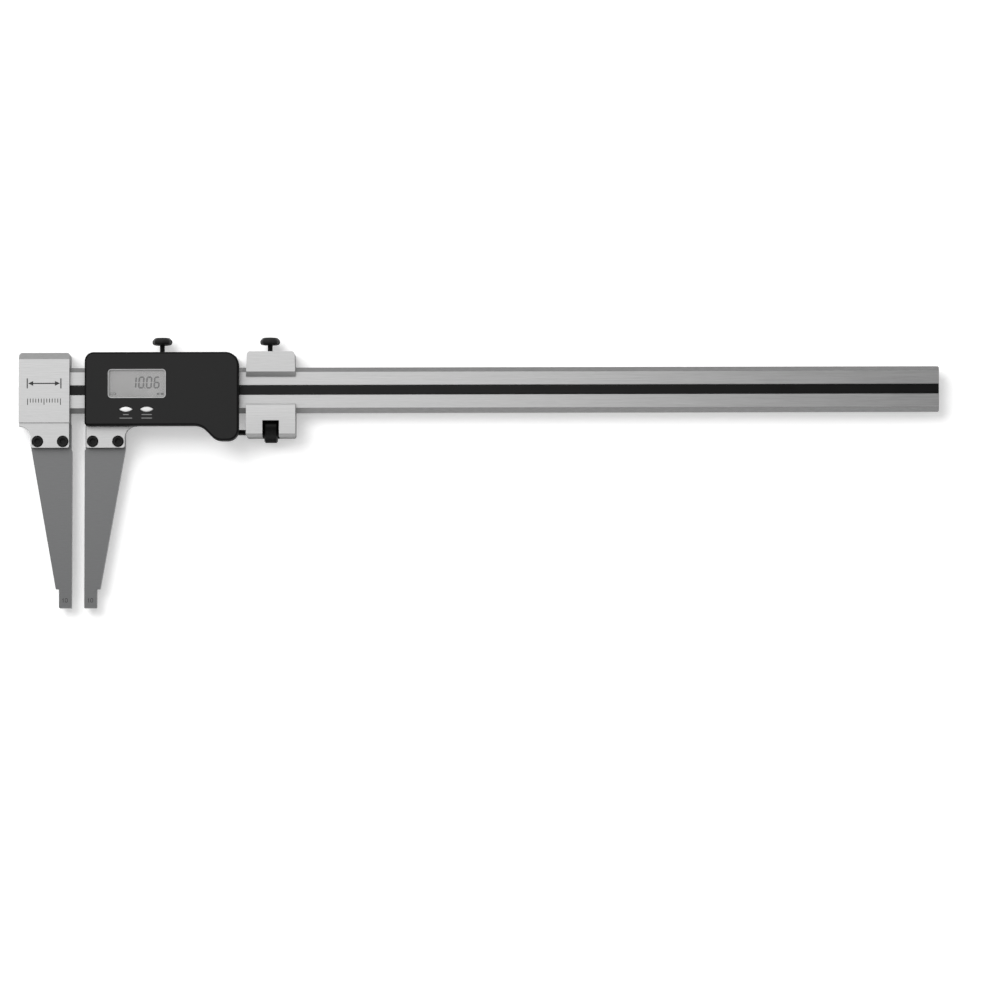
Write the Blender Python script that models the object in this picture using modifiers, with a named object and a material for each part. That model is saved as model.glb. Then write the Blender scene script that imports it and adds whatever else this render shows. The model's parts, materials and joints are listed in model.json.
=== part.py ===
"""Digital caliper with a 500 mm range and 150 mm jaws, lying on its back.

The design frame is in millimetres: X = 0 is the fixed measuring face and +X runs
along the beam to its tail, Y = 0 is the beam's centre line and the jaws point to
-Y, Z = 0 is the back that the caliper rests on and the display faces +Z.
"""

from math import atan2, cos, pi, sin, tau

import bmesh
import bpy
from mathutils import Matrix, Vector

MM = 0.001  # metres in a millimetre
GAP = 0.3  # clearance between neighbouring solids
FIT_OFFSET = (-321.5, 65.2, 0.0)  # moves the box's bottom centre to the world origin

# Measuring position and beam
READING = 10.06  # distance between the measuring faces
BEAM_X = (-37.6, 684.5)
BEAM_HALF_HEIGHT = 18.0
BEAM_Z = (6.0, 18.0)
BEAM_CHAMFER = (3.8, 4.0)  # across the beam, and through its thickness
GROOVE_HALF = 4.0
GROOVE_FLOOR = 16.0
STRIP_Z = (16.3, 17.0)
FILM_Z = (17.3, 17.8)
CHAMBER_Y = (5.8, 13.0)  # the extrusion's two hollow chambers, either side of the centre
CHAMBER_Z = (8.4, 15.6)
PLUG_X = (676.0, 684.2)
STOP_X = 676.0

# Fixed head and jaws
HEAD_X = (-41.5, -1.5)
HEAD_Y = (-26.0, 29.7)
FRAME_FRONT = 24.0
HEAD_BEVEL = 5.4
HEAD_SCREW_X = (-31.0, -11.0)
FLANGE_Z = (14.3, 22.0)
FLANGE_BOTTOM = -45.8
FLANGE_WIDTH = 30.3
FLANGE_SETBACK = 1.8  # from the measuring face to the flange's edge
FLANGE_FOOT = -28.7  # where the fillet beside the flange ends, below the frame's edge
FLANGE_FILLET = 9.3
JAW_Z = (6.0, 14.0)
JAW_TIP = -172.0
JAW_SHOULDER = -157.0
JAW_WIDTH = 32.2
JAW_SHOULDER_WIDTH = 12.5
JAW_RELIEF = (0.7, -46.6)  # depth of the root's relief, and where it starts
NIB_WIDTH = 10.0
NIB_ROUNDING = 0.8
JAW_SCREW_OFFSETS = (6.8, 26.8)
JAW_SCREW_Y = -40.8

# Carriage
CARRIAGE_X = (11.7, 130.0)
CARRIAGE_Y = (-25.3, 26.6)
CARRIAGE_FRONT = 22.0
CARRIAGE_LIP = 11.0
GIB_Y = (18.4, 20.1)
GIB_Z = (7.5, 16.5)
GIB_POCKET_Y = (17.0, 20.4)
GIB_X = (20.0, 122.0)
GIB_SCREW_X = (35.0, 105.0)
SPINDLE_Y = -33.3
SPINDLE_Z = 12.0
SPINDLE_RADIUS = 2.35
SPINDLE_X = (115.5, 170.0)
SPINDLE_BORE_X = (112.0, 131.0)
SPINDLE_SET_X = 121.5
BOSS_X = (113.5, 129.5)
BOSS_Z = (5.5, 18.5)
BOSS_BOTTOM = -38.0

# Display housing
HOUSING_X = (11.05, 132.6)
HOUSING_Y = (-29.1, 29.0)
HOUSING_Z = (22.3, 33.5)
HOUSING_WALL = 1.8
HOUSING_BULGE = (103.0, 114.8, -41.2)  # where it leaves the bottom, where it is full, and its own bottom
FRONT_ROUNDING = 1.8
WINDOW_X = (29.4, 75.2)
WINDOW_Y = (-7.5, 15.5)
BUTTON_X = (43.8, 60.2)
BUTTON_Y = -16.4
BUTTON_SIZE = (11.0, 4.5)
BUTTON_Z = (31.0, 34.0)
BUTTON_FOOT_Z = (30.5, 31.3)
TRAY_X = (107.5, 132.6)
TRAY_Y = (-17.6, 5.6)
TRAY_Z = (26.5, 30.9)
TRAY_FLOOR = 27.2
BATTERY_RADIUS = 10.0
BATTERY_Z = (27.5, 30.7)
BOARD = ((25.0, 118.0), (-23.5, 24.0), (24.6, 26.2))
BOARD_NOTCH = ((100.0, 119.0), (-24.5, -20.0), (24.0, 27.0))
ELECTRONICS = {  # X, Y and Z spans, and material, of the plain boxes behind the display
    "pickup_board": ((28.0, 102.0), (-10.5, 10.5), (18.4, 20.0), "board_green"),
    "pickup_connector": ((62.0, 78.0), (-3.0, 3.0), (20.3, 24.3), "black_plastic"),
    "lcd_panel": ((27.4, 77.2), (-10.5, 18.5), (28.9, 31.3), "lcd_grey"),
    "lcd_connector_lower": ((30.0, 74.0), (-9.8, -7.8), (26.5, 28.6), "grey_rubber"),
    "lcd_connector_upper": ((30.0, 74.0), (15.8, 17.8), (26.5, 28.6), "grey_rubber"),
    "button_membrane": ((36.0, 68.0), (-21.5, -11.2), (26.5, 29.9), "grey_rubber"),
    "battery_contact_side": ((104.6, 105.0), (-13.0, 1.0), (26.5, 30.6), "spring_bronze"),
}
TOP_CONTACT = (  # the spring's side view, as X and Z
    (100.0, 26.5),
    (103.5, 26.5),
    (103.5, 27.0),
    (100.6, 27.0),
    (100.6, 31.1),
    (122.0, 31.1),
    (122.0, 31.5),
    (100.0, 31.5),
)
TOP_CONTACT_Y = (-8.5, -3.5)

# Fine-adjustment clamp
CLAMP_X = (137.9, 176.9)
CLAMP_Y = (-37.4, 30.1)
CLAMP_EDGE_BEVEL = 2.4
CLAMP_DRAFT = (12.0, 0.8)  # where the sides start to lean in towards the top, and how far they do
CLAMP_LIP_INNER = (10.7, -11.2)
UPPER_LIP_BEVEL = (3.4, 3.4)  # across, and down
LOWER_LIP_BEVEL = (2.5, 1.2)
CLAMP_WALL = 1.7  # from the clamp's ends to the gib's pocket
CLAMP_SCREW_X = (145.0, 168.0)
CLAMP_BORE_END = 174.0
SLOT_X = (150.9, 164.0)
SLOT_TOP = -24.5
SLOT_BACK = 3.0
WHEEL_RADIUS = 8.3
WHEEL_BORE = 2.75
WHEEL_EDGE = 0.9
WHEEL_X = (152.2, 162.6)

# Lock screws
SLIDER_LOCK_X = 71.2
CLAMP_LOCK_X = 156.5
LOCK_Z = 12.0
KNOB_PROFILE = (  # radius and height above the beam's centre line
    (0, 41.6),
    (5.2, 41.6),
    (6.4, 41.0),
    (7.75, 39.5),
    (7.9, 38.7),
    (7.6, 37.0),
    (6.5, 36.15),
    (5.2, 36.8),
    (3.2, 37.0),
    (2.5, 36.1),
    (2.5, 40.0),
    (0, 40.0),
)
STEM_Y = (22.5, 39.7)
STEM_RADIUS = 2.1
PAD_Y = (20.5, 22.0)
PAD_RADIUS = 2.0

# Cap screws: the head's bottom and top, the shank's tip, and the radii of shank and head
JAW_SCREW = (17.2, 21.9, 7.0, 2.5, 4.25)
HEAD_SCREW = (-3.7, -0.6, -13.5, 2.5, 4.2)
STOP_SCREW = (-5.7, -2.4, -11.5, 2.0, 3.5)
HOUSING_SCREW = (-3.2, -1.0, -29.5, 1.1, 2.5)
HOUSING_SCREWS = ((19.0, 23.6), (19.0, -22.0), (124.5, 23.6), (124.5, -22.0))

# Set screws, and holes that the screws pass through
SET_SCREW_RADIUS = 1.5
SPINDLE_SET_Z = (5.8, 9.3)
GIB_SCREW_Y = (20.7, 26.2)
CLAMP_SCREW_Y = (20.7, 29.6)
HEAD_BORE = 4.6
LARGE_HOLE = 2.8
LOCK_HOLE = 2.5
SET_HOLE = 1.8
SMALL_HOLE = 1.4

SLIDER_AXIS = (READING, 0.0, LOCK_Z)
PIVOTS = {  # a point on each body's joint axis
    "root": (0.0, 0.0, 0.0),
    "slider": SLIDER_AXIS,
    "button_left": (BUTTON_X[0], BUTTON_Y, BUTTON_Z[0]),
    "button_right": (BUTTON_X[1], BUTTON_Y, BUTTON_Z[0]),
    "battery_tray": (TRAY_X[0], sum(TRAY_Y) / 2, TRAY_Z[0]),
    "slider_lock": (SLIDER_LOCK_X, 30.0, LOCK_Z),
    "slider_pad": (SLIDER_LOCK_X, 21.0, LOCK_Z),
    "clamp": (CLAMP_X[0], 0.0, LOCK_Z),
    "clamp_lock": (CLAMP_LOCK_X, 30.0, LOCK_Z),
    "clamp_pad": (CLAMP_LOCK_X, 21.0, LOCK_Z),
    "wheel": (sum(WHEEL_X) / 2, SPINDLE_Y, SPINDLE_Z),
}

MATERIALS = {  # colour, roughness, metallic
    "satin_aluminium": ((0.62, 0.62, 0.63), 0.38, 1.0),
    "ground_steel": ((0.28, 0.28, 0.29), 0.42, 1.0),
    "black_steel": ((0.02, 0.02, 0.022), 0.35, 1.0),
    "black_plastic": ((0.03, 0.03, 0.032), 0.45, 0.0),
    "black_film": ((0.012, 0.012, 0.013), 0.3, 0.0),
    "clear_window": ((0.75, 0.77, 0.75), 0.08, 0.0),
    "lcd_grey": ((0.34, 0.35, 0.33), 0.4, 0.0),
    "board_green": ((0.03, 0.16, 0.07), 0.55, 0.0),
    "white_plastic": ((0.85, 0.85, 0.84), 0.4, 0.0),
    "grey_rubber": ((0.12, 0.12, 0.12), 0.8, 0.0),
    "bearing_brass": ((0.62, 0.45, 0.18), 0.4, 1.0),
    "cell_steel": ((0.66, 0.66, 0.65), 0.25, 1.0),
    "spring_bronze": ((0.6, 0.38, 0.2), 0.35, 1.0),
}

# Rotations that take local Z to the named direction
TURNS = {
    "X": Matrix(((0, 0, 1), (1, 0, 0), (0, 1, 0))).to_4x4(),
    "Y": Matrix(((0, 1, 0), (0, 0, 1), (1, 0, 0))).to_4x4(),
    "Z": Matrix.Identity(4),
    "-Z": Matrix.Rotation(pi, 4, "X"),
}


# ---------------------------------------------------------------- scene set-up
def clear_scene():
    for thing in list(bpy.data.objects):
        bpy.data.objects.remove(thing, do_unlink=True)


def new_collection(name):
    group = bpy.data.collections.new(name)
    bpy.context.scene.collection.children.link(group)
    return group


def new_material(name):
    colour, roughness, metallic = MATERIALS[name]
    material = bpy.data.materials.new(name)
    material.use_nodes = True
    shader = material.node_tree.nodes["Principled BSDF"]
    shader.inputs["Base Color"].default_value = (*colour, 1.0)
    shader.inputs["Roughness"].default_value = roughness
    shader.inputs["Metallic"].default_value = metallic
    return material


def new_pivots():
    """One empty per moving body, on its joint's axis, all under one datum."""
    datum = bpy.data.objects.new("caliper_datum", None)
    datum.location = Vector(FIT_OFFSET) * MM
    PARTS.objects.link(datum)
    pivots = {}
    for body, place in PIVOTS.items():
        pivot = bpy.data.objects.new(f"{body}_axis", None)
        pivot.location = Vector(place) * MM
        pivot.parent = datum
        PARTS.objects.link(pivot)
        pivots[body] = pivot
    return pivots


# ------------------------------------------------------------ outline geometry
def rounded(corners, step=pi / 8):
    """Points of a closed outline. A corner is (u, v), or (u, v, radius) to round it."""
    points = []
    count = len(corners)
    for index, corner in enumerate(corners):
        at = Vector(corner[:2])
        if len(corner) == 2:
            points.append(at)
            continue
        back = (Vector(corners[index - 1][:2]) - at).normalized()
        ahead = (Vector(corners[(index + 1) % count][:2]) - at).normalized()
        points += fillet(at, back, ahead, corner[2], step)
    return points


def fillet(at, back, ahead, radius, step):
    half = back.angle(ahead) / 2
    middle = at + (back + ahead).normalized() * (radius / sin(half))
    reach = radius * cos(half) / sin(half)
    start = at + back * reach - middle
    end = at + ahead * reach - middle
    first = atan2(start.y, start.x)
    sweep = (atan2(end.y, end.x) - first + pi) % tau - pi
    pieces = max(2, round(abs(sweep) / step))
    angles = [first + sweep * n / pieces for n in range(pieces + 1)]
    return [middle + radius * Vector((cos(a), sin(a))) for a in angles]


def grown(points, distance):
    """The outline moved outwards by a distance, or inwards if it is negative."""
    points = [Vector(p) for p in points]
    area = sum(a.cross(b) for a, b in zip(points, points[1:] + points[:1]))
    side = 1 if area > 0 else -1
    moved = []
    for index, at in enumerate(points):
        before = (at - points[index - 1]).normalized()
        after = (points[(index + 1) % len(points)] - at).normalized()
        normal_before = side * Vector((before.y, -before.x))
        normal_after = side * Vector((after.y, -after.x))
        both = normal_before + normal_after
        moved.append(at + both * (2 * distance / both.length_squared))
    return moved


def beam_octagon(clearance=0.0):
    across, through = BEAM_CHAMFER
    edge = BEAM_HALF_HEIGHT
    back, front = BEAM_Z
    right = [
        (edge - across, back),
        (edge, back + through),
        (edge, front - through),
        (edge - across, front),
    ]
    left = [(-y, z) for y, z in reversed(right)]
    return grown(right + left, clearance)


def saddle_outline(outer, lip_upper, lip_lower):
    """A C-shaped section round the beam, from its outer corners and the ends of its two lips."""
    octagon = beam_octagon(GAP)
    upper = octagon[3::-1]
    lower = octagon[:3:-1]
    return [*outer[0], *lip_upper, *upper, *lower, *lip_lower, *outer[1]]


def lens(centre, size):
    """Two equal arcs that meet in points, as the push buttons are shaped."""
    half, rise = size[0] / 2, size[1] / 2
    radius = (half * half + rise * rise) / (2 * rise)
    reach = 2 * atan2(rise, half)
    steps = 6
    arc = [reach * (2 * n / steps - 1) for n in range(steps)]
    top = [(-radius * sin(a), radius * cos(a) - radius + rise) for a in arc]
    both = top + [(-x, -y) for x, y in top]
    return [(centre[0] + x, centre[1] + y) for x, y in both]


def housing_outline(inset=0.0):
    left, right = HOUSING_X
    bottom, top = HOUSING_Y
    start, turn, bulge = HOUSING_BULGE
    corners = [
        (left, bottom, 2.5),
        (start, bottom, 13.0),
        (turn, bulge, 11.0),
        (right, bulge, 8.5),
        (right, top, 10.5),
        (left, top, 7.0),
    ]
    return grown(rounded(corners), -inset)


# -------------------------------------------------------------- solid makers
def finish(name, mesh, body, material, matrix=None):
    thing = bpy.data.objects.new(name, mesh)
    pivot = PIVOTS[body]
    thing.parent = AXES[body]
    if matrix is None:
        mesh.transform(Matrix.Translation(-Vector(pivot) * MM))
    else:
        thing.matrix_local = Matrix.Translation(-Vector(pivot) * MM) @ matrix
    if material is None:
        thing.hide_render = True
        thing.display_type = "WIRE"
        CUTTERS.objects.link(thing)
    else:
        mesh.materials.append(SHADES[material])
        mesh.shade_smooth()
        mesh.set_sharp_from_angle(angle=pi / 6)
        PARTS.objects.link(thing)
    return thing


def block(name, x, y, z, body="root", material=None):
    mesh = bpy.data.meshes.new(name)
    shape = bmesh.new()
    bmesh.ops.create_cube(shape, size=1.0)
    size = Vector((x[1] - x[0], y[1] - y[0], z[1] - z[0])) * MM
    centre = Vector((sum(x), sum(y), sum(z))) * MM / 2
    bmesh.ops.transform(
        shape, matrix=Matrix.Translation(centre) @ Matrix.Diagonal((*size, 1)), verts=shape.verts
    )
    shape.to_mesh(mesh)
    shape.free()
    return finish(name, mesh, body, material)


def prism(name, outline, axis, span, body="root", material=None):
    """A flat outline given thickness. Its (u, v) are YZ, ZX or XY for axis X, Y or Z."""
    curve = bpy.data.curves.new(name, "CURVE")
    curve.dimensions = "2D"
    curve.fill_mode = "BOTH"
    curve.extrude = (span[1] - span[0]) / 2 * MM
    spline = curve.splines.new("POLY")
    spline.points.add(len(outline) - 1)
    for point, (u, v) in zip(spline.points, outline):
        point.co = (u * MM, v * MM, 0, 1)
    spline.use_cyclic_u = True
    guide = bpy.data.objects.new(name, curve)
    bpy.context.scene.collection.objects.link(guide)
    mesh = bpy.data.meshes.new_from_object(guide.evaluated_get(bpy.context.evaluated_depsgraph_get()))
    bpy.data.objects.remove(guide, do_unlink=True)
    lift = Matrix.Translation((0, 0, sum(span) / 2 * MM))
    mesh.transform(TURNS[axis] @ lift)
    weld(mesh)
    return finish(name, mesh, body, material)


def weld(mesh):
    shape = bmesh.new()
    shape.from_mesh(mesh)
    bmesh.ops.remove_doubles(shape, verts=shape.verts, dist=0.00001)
    bmesh.ops.recalc_face_normals(shape, faces=shape.faces)
    shape.to_mesh(mesh)
    shape.free()


def rod(name, axis, centre, radius, span, body="root", material=None, sides=24):
    """A cylinder, or a prism when it has few sides. The span is along the axis."""
    mesh = bpy.data.meshes.new(name)
    shape = bmesh.new()
    bmesh.ops.create_cone(
        shape,
        cap_ends=True,
        segments=sides,
        radius1=radius * MM,
        radius2=radius * MM,
        depth=(span[1] - span[0]) * MM,
    )
    place = Vector(centre) * MM
    along = "XYZ".index(axis)
    place[along] = sum(span) / 2 * MM
    bmesh.ops.transform(shape, matrix=Matrix.Translation(place) @ TURNS[axis], verts=shape.verts)
    shape.to_mesh(mesh)
    shape.free()
    return finish(name, mesh, body, material)


def turned(name, profile, axis, centre, body, material, sides=24):
    """A turned piece. Its profile is (radius, height) from the top of the axis down its outer side."""
    mesh = bpy.data.meshes.new(name)
    points = [(radius * MM, 0, height * MM) for radius, height in profile]
    edges = [(n, n + 1) for n in range(len(points) - 1)]
    mesh.from_pydata(points, edges, [])
    matrix = Matrix.Translation(Vector(centre) * MM) @ TURNS[axis]
    thing = finish(name, mesh, body, material, matrix)
    screw = thing.modifiers.new("turn", "SCREW")
    screw.steps = screw.render_steps = sides
    screw.use_merge_vertices = True
    screw.merge_threshold = 0.00001
    return thing


def change(target, operation, tools):
    for tool in tools:
        step = target.modifiers.new(tool.name, "BOOLEAN")
        step.operation = operation
        step.object = tool


def cut(target, *tools):
    change(target, "DIFFERENCE", tools)


def join(target, *tools):
    change(target, "UNION", tools)


def round_edges(thing, chosen, width, segments):
    """Rounds the edges of a mesh whose two ends both pass a test in design millimetres."""
    mesh = thing.data
    pivot = Vector(PIVOTS[next(b for b, axis in AXES.items() if axis is thing.parent)])
    passed = [chosen(v.co / MM + pivot) for v in mesh.vertices]
    weights = mesh.attributes.new("bevel_weight_edge", "FLOAT", "EDGE")
    for edge in mesh.edges:
        weights.data[edge.index].value = float(all(passed[v] for v in edge.vertices))
    bevel = thing.modifiers.new("rounding", "BEVEL")
    bevel.limit_method = "WEIGHT"
    bevel.width = width * MM
    bevel.segments = segments


def socket_screw(name, axis, centre, size, body):
    """A cap screw with a hexagon socket. Its size gives heights along the axis, then radii."""
    base, top, tip, shank, cap = size
    bevel = 0.4
    profile = [
        (0, top),
        (cap - bevel, top),
        (cap, top - bevel),
        (cap, base),
        (shank, base),
        (shank, tip),
        (0, tip),
    ]
    screw = turned(name, profile, axis, centre, body, "black_steel", 20)
    out = TURNS[axis].to_3x3() @ Vector((0, 0, 1))
    floor, mouth = ((out * height + Vector(centre)).z for height in (top - 0.6 * cap, top + 1))
    socket = rod(f"cut_{name}_hexagon", "Z", centre, 0.55 * cap, sorted((floor, mouth)), body, sides=6)
    cut(screw, socket)


def set_screw(name, axis, centre, span, body):
    rod(name, axis, centre, SET_SCREW_RADIUS, span, body, "black_steel", 16)


# ------------------------------------------------------------------ the beam
def make_beam():
    groove = [
        (GROOVE_HALF, BEAM_Z[1]),
        (GROOVE_HALF, GROOVE_FLOOR),
        (-GROOVE_HALF, GROOVE_FLOOR),
        (-GROOVE_HALF, BEAM_Z[1]),
    ]
    outline = beam_octagon()
    section = outline[:4] + groove + outline[4:]
    start, end = BEAM_X
    beam = prism("beam", section, "X", BEAM_X, "root", "satin_aluminium")
    for side, name in ((1, "upper"), (-1, "lower")):
        across = sorted((side * CHAMBER_Y[0], side * CHAMBER_Y[1]))
        cut(beam, block(f"cut_chamber_{name}", (start - 1, end + 1), across, CHAMBER_Z))
        block(f"beam_plug_{name}", PLUG_X, inside(across), inside(CHAMBER_Z), "root", "black_plastic")
    for index, x in enumerate(HEAD_SCREW_X):
        cut(beam, rod(f"cut_beam_screw_{index}", "Z", (x, 0, 0), LARGE_HOLE, (5.0, 14.5)))
    cut(beam, rod("cut_beam_stop", "Z", (STOP_X, 0, 0), 2.3, (5.0, 12.0)))
    groove_y = inside((-GROOVE_HALF, GROOVE_HALF))
    block("scale_strip", inside(BEAM_X), groove_y, STRIP_Z, "root", "board_green")
    block("scale_cover_film", inside(BEAM_X), groove_y, FILM_Z, "root", "black_film")
    socket_screw("beam_stop_screw", "-Z", (STOP_X, 0, 0), STOP_SCREW, "root")


def inside(span):
    return (span[0] + GAP, span[1] - GAP)


# ----------------------------------------------------------- head and jaws
def flange_outline(face, direction, wall):
    """The plate that carries a jaw, joined to the frame's edge (wall) with a fillet."""
    inner = face + direction * FLANGE_SETBACK
    outer = inner + direction * FLANGE_WIDTH
    end = outer + direction * (FLANGE_FILLET + 0.1)
    return rounded(
        [
            (inner, wall + 4),
            (inner, FLANGE_BOTTOM, 1.5),
            (outer, FLANGE_BOTTOM, 2.0),
            (outer, FLANGE_FOOT, FLANGE_FILLET),
            (end, FLANGE_FOOT),
            (end, wall + 4),
        ]
    )


def jaw_outline(face, direction):
    """The jaw's front view. The nib's far side is straight."""
    relief, relief_y = JAW_RELIEF
    corners = [
        (relief, -26.5),
        (relief, relief_y),
        (0.0, relief_y - relief),
        (0.0, JAW_TIP),
        (NIB_WIDTH, JAW_TIP),
        (NIB_WIDTH, JAW_SHOULDER),
        (JAW_SHOULDER_WIDTH, JAW_SHOULDER),
        (JAW_WIDTH, FLANGE_BOTTOM),
        (JAW_WIDTH, -31.5),
        (27.0, -26.5),
    ]
    return [(face + direction * across, y) for across, y in corners]


def make_jaw(name, face, direction, body):
    jaw = prism(name, jaw_outline(face, direction), "Z", JAW_Z, body, "ground_steel")
    outer = face + direction * NIB_WIDTH

    def on_nib(point):
        return abs(point.x - outer) < 0.01 and point.y < JAW_SHOULDER + 0.01

    round_edges(jaw, on_nib, NIB_ROUNDING, 2)
    for index, across in enumerate(JAW_SCREW_OFFSETS):
        place = (face + direction * across, JAW_SCREW_Y, 0)
        cut(jaw, rod(f"cut_{name}_{index}", "Z", place, LARGE_HOLE, (5.0, 15.0), body, sides=20))
        socket_screw(f"{name}_screw_{index + 1}", "Z", place, JAW_SCREW, body)


def drill_flange(target, label, face, direction, body):
    for index, across in enumerate(JAW_SCREW_OFFSETS):
        centre = (face + direction * across, JAW_SCREW_Y, 0)
        cut(target, rod(f"cut_{label}_bore_{index}", "Z", centre, HEAD_BORE, (16.9, 23.0), body))
        cut(target, rod(f"cut_{label}_hole_{index}", "Z", centre, LARGE_HOLE, (13.0, 17.5), body, sides=20))


def make_head():
    low, high = HEAD_Y
    section = [
        (low, 0),
        (high, 0),
        (high, FRAME_FRONT - HEAD_BEVEL),
        (high - HEAD_BEVEL, FRAME_FRONT),
        (low, FRAME_FRONT),
    ]
    head = prism("fixed_head", section, "X", HEAD_X, "root", "satin_aluminium")
    flange = prism("join_head_flange", flange_outline(0.0, -1, low), "Z", FLANGE_Z)
    join(head, flange)
    cut(head, prism("cut_head_pocket", beam_octagon(GAP), "X", (BEAM_X[0] - GAP, HEAD_X[1] + 1)))
    drill_flange(head, "head", 0.0, -1, "root")
    for index, x in enumerate(HEAD_SCREW_X):
        cut(head, rod(f"cut_head_bore_{index}", "Z", (x, 0, 0), HEAD_BORE, (-1.0, 4.0)))
        cut(head, rod(f"cut_head_hole_{index}", "Z", (x, 0, 0), LARGE_HOLE, (3.5, 6.5)))
        socket_screw(f"head_screw_{index + 1}", "-Z", (x, 0, 0), HEAD_SCREW, "root")
    make_jaw("fixed_jaw", 0.0, -1, "root")


# -------------------------------------------------------------- the slider
def make_carriage():
    low, high = CARRIAGE_Y
    outer = ([(low, 0), (high, 0), (high, CARRIAGE_FRONT)], [(low, CARRIAGE_FRONT)])
    lip = BEAM_Z[1] + GAP
    upper = [(CARRIAGE_LIP, CARRIAGE_FRONT), (CARRIAGE_LIP, lip)]
    lower = [(-CARRIAGE_LIP, lip), (-CARRIAGE_LIP, CARRIAGE_FRONT)]
    section = saddle_outline(outer, upper, lower)
    carriage = prism("carriage", section, "X", CARRIAGE_X, "slider", "satin_aluminium")
    flange = flange_outline(READING, 1, low)
    join(carriage, prism("join_carriage_flange", flange, "Z", FLANGE_Z, "slider"))
    back, front = BOSS_Z
    boss = rounded([(low + 3, back), (low + 3, front), (BOSS_BOTTOM, front, 4.0), (BOSS_BOTTOM, back, 4.0)])
    join(carriage, prism("join_spindle_boss", boss, "X", BOSS_X, "slider"))
    pocket_x = (GIB_X[0] - GAP, GIB_X[1] + GAP)
    pocket_z = (GIB_Z[0] - GAP, GIB_Z[1] + GAP)
    cut(carriage, block("cut_gib_pocket", pocket_x, GIB_POCKET_Y, pocket_z, "slider"))
    drill_flange(carriage, "carriage", READING, 1, "slider")
    spindle = (0, SPINDLE_Y, SPINDLE_Z)
    cut(carriage, rod("cut_spindle_hole", "X", spindle, 2.75, SPINDLE_BORE_X, "slider", sides=20))
    place = (SPINDLE_SET_X, SPINDLE_Y, 0)
    cut(carriage, rod("cut_spindle_set", "Z", place, SET_HOLE, (4.5, 10.0), "slider", sides=16))
    set_screw("spindle_set_screw", "Z", place, SPINDLE_SET_Z, "slider")
    lock = (SLIDER_LOCK_X, 0, LOCK_Z)
    cut(carriage, rod("cut_slider_lock", "Y", lock, LOCK_HOLE, (19.5, 28.0), "slider"))
    for index, x in enumerate(GIB_SCREW_X):
        place = (x, 0, LOCK_Z)
        cut(carriage, rod(f"cut_gib_set_{index}", "Y", place, SET_HOLE, (19.5, 28.0), "slider", sides=16))
        set_screw(f"gib_set_screw_{index + 1}", "Y", place, GIB_SCREW_Y, "slider")
    for index, (x, y) in enumerate(HOUSING_SCREWS):
        place = (x, y, 0)
        cut(carriage, rod(f"cut_carriage_bore_{index}", "Z", place, 2.8, (-1.0, 3.5), "slider", sides=20))
        hole = rod(f"cut_carriage_hole_{index}", "Z", place, SMALL_HOLE, (3.0, 25.0), "slider", sides=12)
        cut(carriage, hole)
    block("gib_strip", GIB_X, GIB_Y, GIB_Z, "slider", "bearing_brass")
    rod("adjust_spindle", "X", spindle, SPINDLE_RADIUS, SPINDLE_X, "slider", "black_steel")
    make_jaw("moving_jaw", READING, 1, "slider")


def make_housing():
    back, front = HOUSING_Z
    housing = prism("display_housing", housing_outline(), "Z", HOUSING_Z, "slider", "black_plastic")
    round_edges(housing, lambda point: point.z > front - 0.01, FRONT_ROUNDING, 3)
    inner_front = front - HOUSING_WALL
    cavity = housing_outline(HOUSING_WALL)
    cut(housing, prism("cut_housing_cavity", cavity, "Z", (back - 1, inner_front), "slider"))
    window = rounded([(x, y, 2.0) for x, y in corners_of(WINDOW_X, WINDOW_Y)])
    cut(housing, prism("cut_window", window, "Z", (inner_front - 1, front + 1), "slider"))
    pane = grown(window, -GAP)
    prism("display_window", pane, "Z", (inner_front - 0.1, front - 0.3), "slider", "clear_window")
    for side, x in zip(("left", "right"), BUTTON_X):
        opening = lens((x, BUTTON_Y), BUTTON_SIZE)
        cut(housing, prism(f"cut_button_{side}", opening, "Z", (inner_front - 1, front + 1), "slider"))
        make_button(f"button_{side}", x)
    slot_y = (TRAY_Y[0] - GAP, TRAY_Y[1] + GAP)
    slot_z = (TRAY_Z[0] - GAP, TRAY_Z[1] + GAP)
    cut(housing, block("cut_tray_slot", (129.0, 134.0), slot_y, slot_z, "slider"))
    for index, (x, y) in enumerate(HOUSING_SCREWS):
        place = (x, y, 0)
        post = (back, inner_front + 0.5)
        join(housing, rod(f"join_screw_post_{index}", "Z", place, 2.7, post, "slider", sides=20))
        hole = (back - 1, inner_front - 1)
        cut(housing, rod(f"cut_screw_post_{index}", "Z", place, SMALL_HOLE, hole, "slider", sides=12))
        socket_screw(f"housing_screw_{index + 1}", "-Z", place, HOUSING_SCREW, "slider")


def corners_of(x, y):
    return [(x[0], y[0]), (x[1], y[0]), (x[1], y[1]), (x[0], y[1])]


def make_button(name, x):
    size = (BUTTON_SIZE[0] - 1.0, BUTTON_SIZE[1] - 0.7)
    cap = prism(name, lens((x, BUTTON_Y), size), "Z", BUTTON_Z, name, "white_plastic")
    foot = lens((x, BUTTON_Y), (BUTTON_SIZE[0] + 2.0, BUTTON_SIZE[1] + 1.6))
    join(cap, prism(f"join_{name}_foot", foot, "Z", BUTTON_FOOT_Z, name))


def make_electronics():
    board = block("circuit_board", *BOARD, "slider", "board_green")
    cut(board, block("cut_board_notch", *BOARD_NOTCH, "slider"))
    for name, (x, y, z, material) in ELECTRONICS.items():
        block(name, x, y, z, "slider", material)
    upright = [(z, x) for x, z in TOP_CONTACT]
    prism("battery_contact_top", upright, "Y", TOP_CONTACT_Y, "slider", "spring_bronze")


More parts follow.
